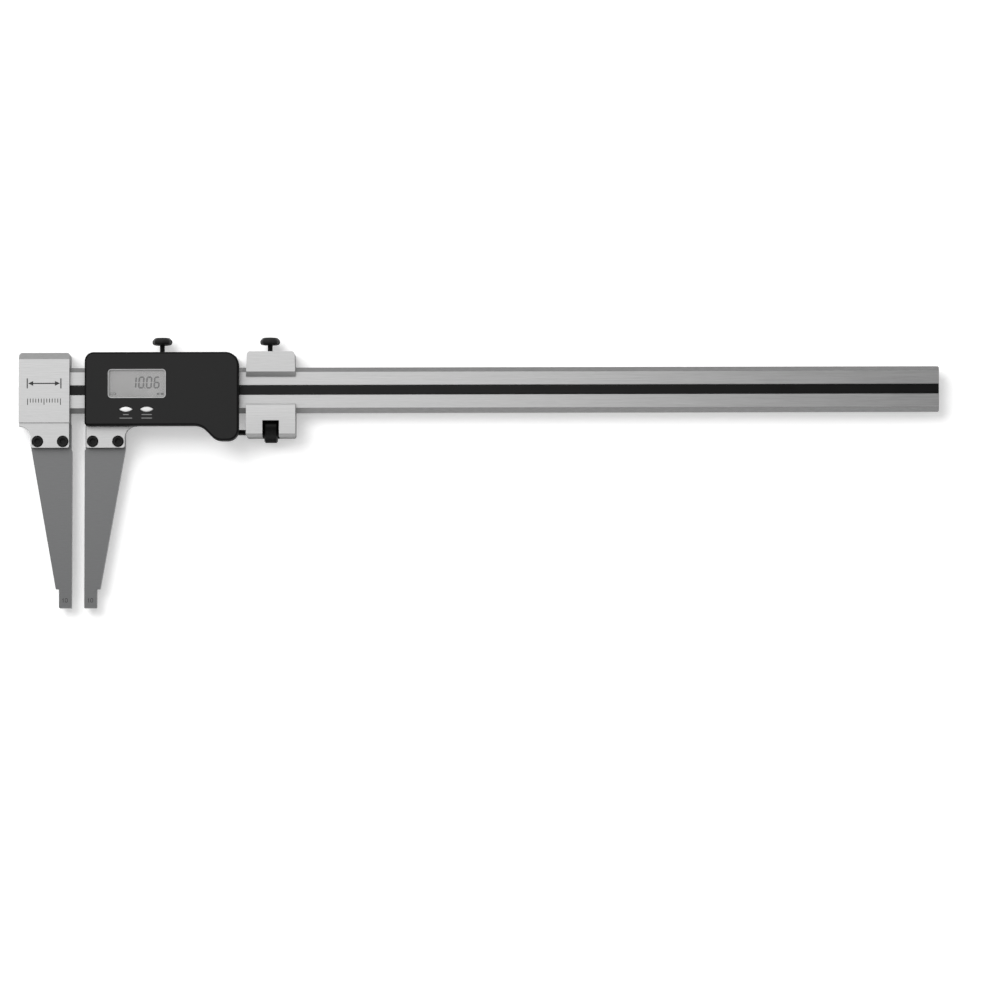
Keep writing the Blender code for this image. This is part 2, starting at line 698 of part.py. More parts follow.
def make_battery_tray():
    body = "battery_tray"
    tray = block("battery_tray", TRAY_X, TRAY_Y, TRAY_Z, body, "black_plastic")
    middle = sum(TRAY_Y) / 2
    centre = (TRAY_X[0] + BATTERY_RADIUS + 0.9, middle, 0)
    floor = (TRAY_FLOOR, TRAY_Z[1] + 1)
    cut(tray, rod("cut_battery_pocket", "Z", centre, BATTERY_RADIUS + GAP, floor, body, sides=32))
    grip = (TRAY_X[1] - 0.8, TRAY_X[1] + 1)
    cut(tray, block("cut_tray_notch", grip, (middle - 4, middle + 4), (TRAY_Z[0] - 1, 27.6), body))
    rod("battery", "Z", centre, BATTERY_RADIUS, BATTERY_Z, body, "cell_steel", 32)


# ------------------------------------------------------- clamp and lock screws
def clamp_section():
    low, high = CLAMP_Y
    front = FRAME_FRONT
    lip = BEAM_Z[1] + GAP
    edge = front - CLAMP_EDGE_BEVEL
    outer = ([(low, 0), (high, 0), (high, front)], [(low + CLAMP_EDGE_BEVEL, front), (low, edge)])
    inner, (across, down) = CLAMP_LIP_INNER[0], UPPER_LIP_BEVEL
    upper = [(inner + across, front), (inner, front - down), (inner, lip)]
    inner, (across, down) = CLAMP_LIP_INNER[1], LOWER_LIP_BEVEL
    lower = [(inner, lip), (inner, front - down), (inner - across, front)]
    return saddle_outline(outer, upper, lower)


def clamp_outline():
    """The clamp's front view: rounded corners, and sides that lean in towards the top."""
    (left, right), (low, high) = CLAMP_X, CLAMP_Y
    start, lean = CLAMP_DRAFT
    right_side = [(right, low, 1.8), (right, start), (right - lean, high, 2.4)]
    left_side = [(left + lean, high, 2.4), (left, start), (left, low, 1.8)]
    return rounded(right_side + left_side)


def make_clamp():
    low = CLAMP_Y[0]
    clamp = prism("clamp_block", clamp_section(), "X", CLAMP_X, "clamp", "satin_aluminium")
    change(clamp, "INTERSECT", [prism("trim_clamp", clamp_outline(), "Z", (-1, FRAME_FRONT + 1), "clamp")])
    pocket = (CLAMP_X[0] + CLAMP_WALL, CLAMP_X[1] - CLAMP_WALL)
    pocket_z = (GIB_Z[0] - GAP, GIB_Z[1] + GAP)
    cut(clamp, block("cut_clamp_gib", pocket, GIB_POCKET_Y, pocket_z, "clamp"))
    slot = block("cut_wheel_slot", SLOT_X, (low - 1, SLOT_TOP), (SLOT_BACK, FRAME_FRONT + 1), "clamp")
    spindle = (0, SPINDLE_Y, SPINDLE_Z)
    bore = (CLAMP_X[0] - 1, CLAMP_BORE_END)
    lock = (CLAMP_LOCK_X, 0, LOCK_Z)
    cut(clamp, slot, rod("cut_clamp_spindle", "X", spindle, 2.8, bore, "clamp", sides=20))
    cut(clamp, rod("cut_clamp_lock", "Y", lock, LOCK_HOLE, (19.5, 31.0), "clamp"))
    for index, x in enumerate(CLAMP_SCREW_X):
        place = (x, 0, LOCK_Z)
        cut(clamp, rod(f"cut_clamp_set_{index}", "Y", place, SET_HOLE, (19.5, 31.0), "clamp", sides=16))
        set_screw(f"clamp_set_screw_{index + 1}", "Y", place, CLAMP_SCREW_Y, "clamp")
    block("clamp_gib", inside(pocket), GIB_Y, GIB_Z, "clamp", "bearing_brass")
    make_wheel()


def make_wheel():
    left, right = WHEEL_X
    profile = [
        (WHEEL_BORE, right),
        (WHEEL_RADIUS - WHEEL_EDGE, right),
        (WHEEL_RADIUS, right - WHEEL_EDGE),
        (WHEEL_RADIUS, left + WHEEL_EDGE),
        (WHEEL_RADIUS - WHEEL_EDGE, left),
        (WHEEL_BORE, left),
        (WHEEL_BORE, right),
    ]
    turned("adjusting_wheel", profile, "X", (0, SPINDLE_Y, SPINDLE_Z), "wheel", "black_steel", 36)


def make_lock(label, x):
    """A thumb screw: a moulded knob on a steel stem, and the brass pad that it presses."""
    centre = (x, 0, LOCK_Z)
    body = f"{label}_lock"
    turned(f"{label}_lock_knob", KNOB_PROFILE, "Y", centre, body, "black_plastic", 28)
    rod(f"{label}_lock_stem", "Y", centre, STEM_RADIUS, STEM_Y, body, "black_steel", 20)
    rod(f"{label}_lock_pad", "Y", centre, PAD_RADIUS, PAD_Y, f"{label}_pad", "bearing_brass", 20)


clear_scene()
PARTS = new_collection("digital_caliper")
CUTTERS = new_collection("cutters")
SHADES = {name: new_material(name) for name in MATERIALS}
AXES = new_pivots()
make_beam()
make_head()
make_carriage()
make_housing()
make_electronics()
make_battery_tray()
make_clamp()
make_lock("slider", SLIDER_LOCK_X)
make_lock("clamp", CLAMP_LOCK_X)
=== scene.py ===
"""The looks of a digital caliper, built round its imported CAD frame.

Sizes are in millimetres in the caliper's own frame. X = 0 is the fixed measuring
face and +X runs along the beam to its tail. Y = 0 is the beam's centre line and the
jaws point to -Y. Z = 0 is the back that the caliper rests on.
"""

import json
from math import acos, atan2, cos, degrees, pi, radians, sin, tau

import bmesh
import bpy
from mathutils import Matrix, Vector


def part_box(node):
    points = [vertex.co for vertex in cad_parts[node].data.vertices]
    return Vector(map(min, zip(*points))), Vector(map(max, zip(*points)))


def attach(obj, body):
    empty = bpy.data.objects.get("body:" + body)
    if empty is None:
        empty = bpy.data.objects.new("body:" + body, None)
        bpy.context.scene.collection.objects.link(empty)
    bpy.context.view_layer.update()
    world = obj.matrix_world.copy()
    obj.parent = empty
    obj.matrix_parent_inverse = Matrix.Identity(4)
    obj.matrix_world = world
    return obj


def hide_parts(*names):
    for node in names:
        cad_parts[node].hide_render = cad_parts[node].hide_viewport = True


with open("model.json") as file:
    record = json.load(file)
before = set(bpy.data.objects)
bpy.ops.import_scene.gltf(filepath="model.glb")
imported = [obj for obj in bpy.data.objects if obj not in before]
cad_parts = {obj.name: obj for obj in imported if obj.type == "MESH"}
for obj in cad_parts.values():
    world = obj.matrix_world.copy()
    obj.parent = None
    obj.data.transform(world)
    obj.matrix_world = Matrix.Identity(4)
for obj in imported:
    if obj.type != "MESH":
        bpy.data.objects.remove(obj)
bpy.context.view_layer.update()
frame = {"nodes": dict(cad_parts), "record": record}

MM = 0.001  # metres in a millimetre
RECORD = frame["record"]
SLOT_OF = {part["node"]: part["material_slot"] for part in RECORD["subparts"]}
BODY_OF = {node: body for body, nodes in RECORD["behaviour"]["bodies"].items() for node in nodes}
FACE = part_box("fixed_jaw")[1].x
BEAM_LOW, BEAM_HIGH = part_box("beam")
ORIGIN = Vector((FACE, (BEAM_LOW.y + BEAM_HIGH.y) / 2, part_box("fixed_head")[0].z))
ARC = pi / 28  # the finest step of an outline's rounded corners

# Joints: the moving measuring face at rest, and the axes of the screws
READING = 10.06
SPINDLE = (0.0, -33.3, 12.0)
LOCK_Z = 12.0

# Threads, as (radius, pitch, depth)
SPINDLE_THREAD = (2.35, 0.8, 0.32)
LOCK_THREAD = (2.1, 0.7, 0.28)
SET_THREAD = (1.5, 0.5, 0.16)

# Radii of the holes for the screws
M5_HOLE = 2.8
M5_BORE = 4.6  # takes the head of the screw
STOP_HOLE = 2.3
SET_HOLE = 1.8
LOCK_HOLE = 2.5
SPINDLE_HOLE = 2.75
HOUSING_HOLE = 1.4
HOUSING_BORE = 2.8

# Cap screws: (underside and top of the head), tip, (radii of shank and head), knurls if not 36
JAW_SCREW = ((17.2, 21.9), 7.0, (2.5, 4.25))
HEAD_SCREW = ((3.7, 0.6), 13.5, (2.5, 4.2))
STOP_SCREW = ((5.7, 2.4), 11.5, (2.0, 3.5), 30)
HOUSING_SCREW = ((3.2, 1.0), 29.5, (1.1, 2.5), 24)

# Beam
BEAM_CHAMFER = (3.8, 4.0)
GROOVE_HALF = 4.0
GROOVE_FLOOR = 16.0
CHAMBER_Y = (5.8, 13.0)
CHAMBER_Z = (8.4, 15.6)
CHAMBER_RADIUS = 0.8
TAIL_RADIUS = 1.3
GAP = 0.3  # between two pieces of which one slides
HEAD_SCREW_X = (-31.0, -11.0)

# Head, carriage and jaws
HEAD_BEVEL = 5.4
HEAD_CORNER = 2.4
HEAD_BOTTOM = -26.0
HEAD_BORE_Z = (-1.0, 4.0)
HEAD_HOLE_Z = (3.5, 6.5)
FLANGE_Z = (14.3, 22.0)
FLANGE_BORE_Z = (16.9, 23.0)
FLANGE_HOLE_Z = (13.0, 17.5)
FLANGE_FOOT = -28.7  # where the flange's fillet starts, under the frame's edge
FLANGE_FILLET = 9.3
FLANGE_BOTTOM = -45.8
FLANGE_WIDTH = 30.3
FLANGE_CORNERS = (1.5, 2.0)
FLANGE_OVERLAP = 4.0  # how far the flange runs into the body
FLANGE_SETBACK = 1.8
JAW_ROOT = -26.5
JAW_RELIEF = 0.7  # how far the root is set back from the measuring face
JAW_FACE_START = -47.6
JAW_SHOULDER = -157.0
JAW_WIDTH = 32.2
JAW_SHOULDER_WIDTH = 12.5
JAW_ROOT_CORNER = (5.2, 5.0)
NIB_WIDTH = 10.0
NIB_RADIUS = 0.8
JAW_SCREW_OFFSETS = (6.8, 26.8)
JAW_SCREW_Y = -40.8
CARRIAGE_LIP = 11.0
CARRIAGE_BOTTOM = -25.3
BOSS_X = (113.5, 129.5)  # the boss that holds the spindle
BOSS_Z = (5.5, 18.5)
BOSS_BOTTOM = -38.0
BOSS_RADIUS = 4.0
SPINDLE_BORE_X = (112.0, 131.0)
SPINDLE_SCREW_X = 121.5
SPINDLE_SCREW_Z = (4.5, 10.0)
CARRIAGE_WALL_Y = (19.5, 28.0)  # holes through the wall on the lock screws' side
GIB_SCREW_X = (35.0, 105.0)
GIB_POCKET_X = (19.7, 122.3)
GIB_POCKET_Y = (17.0, 20.4)
GIB_POCKET_Z = (7.2, 16.8)

# Display housing
HOUSING_WALL = 1.8
HOUSING_BOTTOM = -29.1
HOUSING_BULGE = (103.0, 114.8, -41.2)  # X of the slope's start and end, and Y of the bulge
WINDOW_X = (29.4, 75.2)
WINDOW_Y = (-7.5, 15.5)
WINDOW_RADIUS = 2.8
WINDOW_SETBACK = 0.3
WINDOW_RIM = (0.1, 0.6)  # the rim's outer and inner edge, inside the window's outline
BUTTON_Y = -16.4
BUTTON_OPENING = (11.0, 4.5)
HOUSING_SCREWS = ((19.0, 23.6), (19.0, -22.0), (124.5, 23.6), (124.5, -22.0))
HOUSING_POST = 2.7
HOUSING_EDGE = 1.8  # the radius round the front
HOUSING_FOOT = 0.25  # the bevel round the back
HOUSING_BORE_Z = (-1.0, 3.5)
HOUSING_HOLE_Z = (3.0, 25.0)
TRAY_OPENING_X = (129.0, 134.0)
TRAY_OPENING_CORNER = 0.8
TRAY_FLOOR = 27.2
TRAY_NOTCH = (8.0, 27.6, 0.8)  # width, top and depth of the fingernail notch

# Fine-adjustment clamp
CLAMP_EDGE_BEVEL = 2.4
CLAMP_LIP_INNER = (10.7, -11.2)
UPPER_LIP_BEVEL = (3.4, 3.4)  # across, and down
LOWER_LIP_BEVEL = (2.5, 1.2)
SLOT_X = (150.9, 164.0)
SLOT_TOP = -24.5
SLOT_BACK = 3.0
CLAMP_SCREW_X = (145.0, 168.0)
CLAMP_WALL_Y = (19.5, 31.0)
CLAMP_GIB_INSET = 1.7
CLAMP_SPINDLE_HOLE = 2.8
CLAMP_SPINDLE_END = 174.0
CLAMP_DRAFT = 0.8
CLAMP_DRAFT_START = 12.0
CLAMP_CORNERS = (1.8, 2.4)
WHEEL_BORE = 2.75
WHEEL_EDGE = 0.9
WHEEL_KNURL = 0.32
WHEEL_RIDGES = 60

# Lock knob, as (radius, depth under its top, depth of the scallops)
KNOB_RIM = (
    (0, 0.3, 0), (3.6, 0.3, 0), (4.0, 0.0, 0), (5.6, 0.0, 0), (6.1, 0.25, 0),
    (6.8, 1.0, 0.25), (7.5, 1.75, 0.4), (7.85, 2.4, 0.55), (7.9, 3.2, 0.6),
    (7.8, 4.1, 0.6), (7.4, 4.8, 0.6), (6.9, 5.35, 0.5), (6.3, 5.45, 0.3),
    (5.8, 5.1, 0), (4.9, 4.5, 0), (3.2, 4.2, 0),
)
KNOB_NECK = (2.7, 2.2)  # outer radius, and the radius of the stem's hole
KNOB_WEB = 1.6
KNOB_LOBES = 8

# Marks
MARK_DEPTH = 0.15
NIB_MARK_Y = -166.0
NIB_MARK = (3.4, 0.45)  # height and stroke
HEAD_MARK_X = (-34.5, -8.5)
ARROW_Y = 5.0
ARROW_STROKE = 0.9
TICK_TOP = -7.0
TICK_COUNT = 13
TICK_LENGTHS = (5.0, 3.2)  # every sixth, and the others
TICK_WIDTH = 0.6
# Bars in place of the words under the buttons, as (middle on X, width, middle on Y)
LABEL_BARS = ((43.8, 4.5, -20.6), (43.8, 10.0, -23.4), (60.2, 8.0, -20.6), (60.2, 8.4, -23.4))
LABEL_STROKE = 0.7

# Reading on the display
DIGIT_SIZE = (4.8, 9.6)
DIGIT_STROKE = 1.25
DIGIT_GAP = 0.06
DIGIT_LEAN = 0.07
DIGIT_Y = 0.1
DIGIT_X = (47.0, 53.1, 59.2, 65.2)
DECIMAL_POINT = ((58.3, 59.1), (0.1, 0.9))
BATTERY_SIGN = (31.0, -5.0)
BAR_SIGNS = (((68.0, 70.2), (-4.9, -3.3)), ((71.0, 73.4), (-4.9, -3.3)))

# Faces that lean from Z by more than these degrees get the painted shade of a bevel or a side
BEVEL_LEAN = 30
SIDE_LEAN = 60
HOUSING_LEAN = 15

# The camera that the reference view was taken with, fitted to the caliper's corners
CAMERA_PLACE = (449.865, -539.016, 6214.79)
CAMERA_TURN = (0.07271, 0.01805, -0.00057)
CAMERA_LENS = 283.756


# ---- mesh making ----
def extent(node):
    """The (low, high) of a CAD node on X, Y and Z, in the caliper's frame."""
    low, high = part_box(node)
    return [((low[k] - ORIGIN[k]) / MM, (high[k] - ORIGIN[k]) / MM) for k in range(3)]


def placed(u, v, w, axis):
    """A point of a flat outline (u, v) at height w along an axis, as X, Y, Z."""
    return {"X": (w, u, v), "Y": (v, w, u), "Z": (u, v, w)}[axis]


def piece_from(name, shape):
    """An object from a bmesh. It stays in the caliper's millimetres until settle()."""
    bmesh.ops.recalc_face_normals(shape, faces=shape.faces)
    mesh = bpy.data.meshes.new(name)
    shape.to_mesh(mesh)
    shape.free()
    thing = bpy.data.objects.new(name, mesh)
    bpy.context.scene.collection.objects.link(thing)
    return thing


def settle(thing):
    """Moves a finished mesh from the caliper's millimetres to the row frame's metres."""
    thing.data.transform(Matrix.Translation(ORIGIN) @ Matrix.Scale(MM, 4))


def add_prism(shape, outline, axis, span):
    """A flat outline drawn out between two heights along an axis."""
    low = [shape.verts.new(placed(u, v, span[0], axis)) for u, v in outline]
    high = [shape.verts.new(placed(u, v, span[1], axis)) for u, v in outline]
    shape.faces.new(low[::-1])
    shape.faces.new(high)
    for k in range(len(outline)):
        shape.faces.new((low[k - 1], low[k], high[k], high[k - 1]))


def prisms(name, outlines, axis, span):
    shape = bmesh.new()
    for outline in outlines:
        add_prism(shape, outline, axis, span)
    return piece_from(name, shape)


def prism(name, outline, axis, span):
    return prisms(name, [outline], axis, span)


def block(name, x, y, z):
    return prism(name, rectangle(x, y), "Z", z)


def rod(name, axis, centre, radius, span, sides=40):
    """A cylinder, or a cone when it is given two radii."""
    radii = radius if isinstance(radius, tuple) else (radius, radius)
    profile = [(0, span[0]), (radii[0], span[0]), (radii[1], span[1]), (0, span[1])]
    return turned(name, profile, axis, centre, sides)


def loft(name, outlines):
    """A solid through closed outlines with equally many points, from the lowest up."""
    shape = bmesh.new()
    rings = [[shape.verts.new(point) for point in outline] for outline in outlines]
    shape.faces.new(rings[0][::-1])
    shape.faces.new(rings[-1])
    for low, high in zip(rings, rings[1:]):
        for k in range(len(low)):
            shape.faces.new((low[k - 1], low[k], high[k], high[k - 1]))
    return piece_from(name, shape)


def turned(name, profile, axis, centre, sides=64, wave=None):
    """A turned piece from (radius, height) points. A wave changes the radius round the axis."""
    shape = bmesh.new()
    rings = []
    for row, (radius, height) in enumerate(profile):
        count = sides if radius > 0 else 1
        ring = []
        for k in range(count):
            angle = tau * k / sides
            reach = radius + (wave(row, k, angle) if wave else 0)
            u, v = reach * cos(angle), reach * sin(angle)
            point = Vector(placed(u, v, height, axis)) + lateral(centre, axis)
            ring.append(shape.verts.new(point))
        rings.append(ring)
    closed = profile[0][0] > 0
    pairs = zip(rings, rings[1:] + rings[:1] if closed else rings[1:])
    for first, second in pairs:
        add_band(shape, first, second)
    return piece_from(name, shape)


def lateral(centre, axis):
    """A centre with its coordinate along the axis left out."""
    along = "XYZ".index(axis)
    return Vector([0 if k == along else centre[k] for k in range(3)])


def add_band(shape, first, second):
    if len(first) == 1 and len(second) == 1:
        return
    count = max(len(first), len(second))
    for k in range(count):
        low = [first[(k - 1) % len(first)], first[k % len(first)]]
        high = [second[k % len(second)], second[(k - 1) % len(second)]]
        corners = list(dict.fromkeys(low + high))
        shape.faces.new(corners)


def threaded(name, axis, centre, span, radius, pitch, depth, sides=28):
    """A rod with a helical thread and plain ends."""
    rows_per_turn = 5
    count = round((span[1] - span[0]) / pitch * rows_per_turn)
    heights = [span[0] + (span[1] - span[0]) * n / count for n in range(count + 1)]
    profile = [(0, span[0])] + [(radius, h) for h in heights] + [(0, span[1])]

    def thread(row, _, angle):
        if row < 2 or row > count:
            return -depth
        turn = (profile[row][1] / pitch - angle / tau) % 1
        return -depth * abs(2 * turn - 1)

    return turned(name, profile, axis, centre, sides, thread)


def rectangle(x, y, radius=0):
    corners = [(x[0], y[0]), (x[1], y[0]), (x[1], y[1]), (x[0], y[1])]
    return rounded([(*corner, radius) for corner in corners]) if radius else corners


def rounded(corners, step=ARC):
    """Points of a closed outline of (u, v) or (u, v, radius) corners, each radius as an arc."""
    points = []
    count = len(corners)
    for index, corner in enumerate(corners):
        at = Vector(corner[:2])
        if len(corner) == 2:
            points.append(at)
            continue
        back = (Vector(corners[index - 1][:2]) - at).normalized()
        ahead = (Vector(corners[(index + 1) % count][:2]) - at).normalized()
        points += fillet(at, back, ahead, corner[2], step)
    return points


def fillet(at, back, ahead, radius, step):
    half = back.angle(ahead) / 2
    middle = at + (back + ahead).normalized() * (radius / sin(half))
    reach = radius * cos(half) / sin(half)
    start = at + back * reach - middle
    end = at + ahead * reach - middle
    first = atan2(start.y, start.x)
    sweep = (atan2(end.y, end.x) - first + pi) % tau - pi
    pieces = max(3, round(abs(sweep) / step))
    angles = [first + sweep * n / pieces for n in range(pieces + 1)]
    return [middle + radius * Vector((cos(a), sin(a))) for a in angles]


def grown(points, distance):
    """The outline moved outwards by a distance, or inwards if it is negative."""
    points = [Vector(p) for p in points]
    area = sum(a.cross(b) for a, b in zip(points, points[1:] + points[:1]))
    side = 1 if area > 0 else -1
    moved = []
    for index, at in enumerate(points):
        before = (at - points[index - 1]).normalized()
        after = (points[(index + 1) % len(points)] - at).normalized()
        normals = side * Vector((before.y + after.y, -before.x - after.x))
        moved.append(at + normals * (2 * distance / normals.length_squared))
    return moved


def lens(centre, size, steps=16):
    """Two equal arcs that meet in points."""
    half, rise = size[0] / 2, size[1] / 2
    radius = (half * half + rise * rise) / (2 * rise)
    reach = 2 * atan2(rise, half)
    arc = [reach * (2 * n / steps - 1) for n in range(steps)]
    top = [(-radius * sin(a), radius * cos(a) - radius + rise) for a in arc]
    both = top + [(-x, -y) for x, y in top]
    return [(centre[0] + x, centre[1] + y) for x, y in both]


# ---- cutting and rounding ----
def bake(thing):
    """Applies an object's modifiers."""
    graph = bpy.context.evaluated_depsgraph_get()
    mesh = bpy.data.meshes.new_from_object(thing.evaluated_get(graph))
    old = thing.data
    thing.modifiers.clear()
    thing.data = mesh
    bpy.data.meshes.remove(old)
    mesh.name = thing.name


def clean(thing):
    """Merges doubled corners and removes faces with no area."""
    shape = bmesh.new()
    shape.from_mesh(thing.data)
    bmesh.ops.remove_doubles(shape, verts=shape.verts, dist=0.003)
    bmesh.ops.dissolve_degenerate(shape, edges=shape.edges, dist=0.001)
    shape.to_mesh(thing.data)
    shape.free()


def combine(target, operation, tools):
    for tool in tools:
        step = target.modifiers.new(tool.name, "BOOLEAN")
        step.operation = operation
        step.object = tool
        step.material_mode = "TRANSFER" if tool.data.materials else "INDEX"
    bake(target)
    for tool in tools:
        bpy.data.objects.remove(tool)
    clean(target)
    return target


def cut(target, *tools):
    return combine(target, "DIFFERENCE", tools)


def join(target, *tools):
    return combine(target, "UNION", tools)


def trim(target, tool):
    return combine(target, "INTERSECT", [tool])


def repaint(thing, node, *bands):
    """Gives the faces that lean from Z a darker material, as painted shade, by (degrees, material) in
    rising order.
    """
    thing.data.materials.append(MATERIALS[SLOT_OF[node]])
    for _, material in bands:
        thing.data.materials.append(material)
    for face in thing.data.polygons:
        lean = degrees(acos(min(abs(face.normal.z), 1.0)))
        face.material_index = sum(lean > start for start, _ in bands)


def soften(thing, width, segments=2, angle=30, edge_material=-1):
    """Rounds every edge that is sharper than an angle. The new faces take the material at a given
    index, which may be painted shade.
    """
    bevel = thing.modifiers.new("edges", "BEVEL")
    bevel.width = width
    bevel.material = edge_material
    bevel.segments = segments
    bevel.limit_method = "ANGLE"
    bevel.angle_limit = radians(angle)
    shade(thing)
    bake(thing)


def facet(thing, angle=35):
    """Smooth shading that keeps the edges sharper than an angle."""
    thing.data.shade_smooth()
    thing.data.set_sharp_from_angle(angle=radians(angle))


def shade(thing, angle=80):
    """Smooth shading that follows the large faces, for pieces with rounded edges."""
    facet(thing, angle)
    weighted = thing.modifiers.new("shading", "WEIGHTED_NORMAL")
    weighted.keep_sharp = True


# ---- materials ----
def new_material(name, colour, roughness, metallic=0.0, **sockets):
    """A Principled material and the tools to add nodes to it."""
    material = bpy.data.materials.new(name)
    material.use_nodes = True
    shader = material.node_tree.nodes["Principled BSDF"]
    shader.inputs["Base Color"].default_value = (*colour, 1.0)
    shader.inputs["Roughness"].default_value = roughness
    shader.inputs["Metallic"].default_value = metallic
    for socket, value in sockets.items():
        shader.inputs[socket.replace("_", " ")].default_value = value
    return material


def noise(material, cell, detail=3.0, seed=0.0):
    """Noise whose grains are cell = (x, y, z) millimetres, fixed to the piece."""
    tree = material.node_tree
    place = tree.nodes.new("ShaderNodeTexCoord")
    mapping = tree.nodes.new("ShaderNodeMapping")
    mapping.inputs["Scale"].default_value = [1 / (size * MM) for size in cell]
    mapping.inputs["Location"].default_value = (seed, seed * 1.7, seed * 2.3)
    texture = tree.nodes.new("ShaderNodeTexNoise")
    texture.inputs["Scale"].default_value = 1.0
    texture.inputs["Detail"].default_value = detail
    tree.links.new(place.outputs["Object"], mapping.inputs["Vector"])
    tree.links.new(mapping.outputs["Vector"], texture.inputs["Vector"])
    return texture.outputs["Fac"]


def mixed(material, first, second, share):
    tree = material.node_tree
    mix = tree.nodes.new("ShaderNodeMix")
    mix.inputs["Factor"].default_value = share
    tree.links.new(first, mix.inputs["A"])
    tree.links.new(second, mix.inputs["B"])
    return mix.outputs["Result"]


def drive(material, socket, output):
    """Links a node's output to a socket of the material's shader."""
    tree = material.node_tree
    tree.links.new(output, tree.nodes["Principled BSDF"].inputs[socket])


def drive_colour(material, fac, dark, light, window=(0.3, 0.7)):
    """The base colour runs from dark to light as the noise runs through a window."""
    tree = material.node_tree
    ramp = tree.nodes.new("ShaderNodeValToRGB")
    for element, position, colour in zip(ramp.color_ramp.elements, window, (dark, light)):
        element.position = position
        element.color = (*colour, 1.0)
    tree.links.new(fac, ramp.inputs["Fac"])
    drive(material, "Base Color", ramp.outputs["Color"])


def set_range(node, source, target):
    """Sets what a Map Range node reads and what it gives."""
    for socket, value in zip(("From Min", "From Max", "To Min", "To Max"), (*source, *target)):
        node.inputs[socket].default_value = value


def drive_roughness(material, fac, low, high, window=(0.3, 0.7)):
    tree = material.node_tree
    ranged = tree.nodes.new("ShaderNodeMapRange")
    set_range(ranged, window, (low, high))
    tree.links.new(fac, ranged.inputs["Value"])
    drive(material, "Roughness", ranged.outputs["Result"])


def drive_bump(material, fac, depth, strength=1.0):
    tree = material.node_tree
    bump = tree.nodes.new("ShaderNodeBump")
    bump.inputs["Strength"].default_value = strength
    bump.inputs["Distance"].default_value = depth * MM
    tree.links.new(fac, bump.inputs["Height"])
    drive(material, "Normal", bump.outputs["Normal"])


def grey(value, tint=0.0):
    """A grey, with a little more blue than red for a positive tint."""
    return (value * (1 - tint), value, value * (1 + tint))


def brushed_metal(name, value, roughness, spread, grain, tint=0.0):
    """Metal brushed along X. Grain is the (length, width) in millimetres of its long streaks."""
    length, width = grain
    material = new_material(name, grey(value, tint), roughness, 1.0)
    streaks = noise(material, (length, width, width), 4.0)
    fine = noise(material, (length * 0.3, width * 0.2, width * 0.2), 2.0, 3.1)
    brushing = mixed(material, streaks, fine, 0.45)
    drive_colour(material, brushing, grey(value * (1 - spread), tint), grey(value * (1 + spread), tint))
    drive_roughness(material, brushing, roughness - 0.05, roughness + 0.06)
    drive_bump(material, brushing, 0.02, 0.35)
    return material


def moulded(name, value, roughness, grain, depth, tint=0.0, **sockets):
    """Plastic or rubber with the fine texture of its mould."""
    material = new_material(name, grey(value, tint), roughness, 0.0, **sockets)
    fine = noise(material, (grain,) * 3, 3.0)
    cloud = noise(material, (grain * 40,) * 3, 2.0, 5.3)
    drive_colour(material, cloud, grey(value * 0.9, tint), grey(value * 1.1, tint))
    drive_roughness(material, cloud, roughness - 0.04, roughness + 0.04)
    drive_bump(material, fine, depth)
    return material


def tinted(name, dark, light, roughness, metallic, grain, depth):
    material = new_material(name, light, roughness, metallic)
    mottle = noise(material, grain, 4.0)
    drive_colour(material, mottle, dark, light)
    drive_roughness(material, mottle, roughness - 0.05, roughness + 0.05)
    drive_bump(material, mottle, depth)
    return material


def shaded_metal(name, dark, light):
    """A darker copy of a metal for a piece's bevels and sides: painted shade."""
    return tinted(name, grey(dark), grey(light), 0.5, 1.0, (5.0, 0.6, 0.6), 0.01)


def make_materials():
    return {
        "satin_aluminium": brushed_metal("satin_aluminium", 0.59, 0.38, 0.13, (26.0, 0.8)),
        "ground_steel": brushed_metal("ground_steel", 0.215, 0.42, 0.1, (9.0, 0.5), 0.01),
        "black_steel": tinted("black_steel", grey(0.010), grey(0.022), 0.42, 0.8, (0.9,) * 3, 0.01),
        "black_plastic": moulded("black_plastic", 0.011, 0.5, 0.35, 0.02, Specular_IOR_Level=0.25),
        "black_film": moulded("black_film", 0.005, 0.3, 0.6, 0.004, Specular_IOR_Level=0.18),
        "clear_window": moulded("clear_window", 0.5, 0.1, 3.0, 0.002, Alpha=0.16),
        "lcd_grey": moulded("lcd_grey", 0.34, 0.45, 0.5, 0.002, -0.01),
        "board_green": tinted(
            "board_green", (0.02, 0.11, 0.05), (0.035, 0.18, 0.08), 0.5, 0.0, (2.0,) * 3, 0.02
        ),
        "white_plastic": moulded("white_plastic", 0.76, 0.35, 0.4, 0.008),
        "grey_rubber": moulded("grey_rubber", 0.11, 0.75, 0.3, 0.03),
        "bearing_brass": tinted(
            "bearing_brass", (0.5, 0.35, 0.13), (0.66, 0.48, 0.2), 0.36, 1.0, (9.0, 0.5, 0.5), 0.008
        ),
        "cell_steel": tinted("cell_steel", grey(0.58), grey(0.7), 0.24, 1.0, (1.6,) * 3, 0.006),
        "spring_bronze": tinted(
            "spring_bronze", (0.5, 0.3, 0.15), (0.65, 0.42, 0.24), 0.32, 1.0, (5.0, 0.6, 0.6), 0.006
        ),
    }


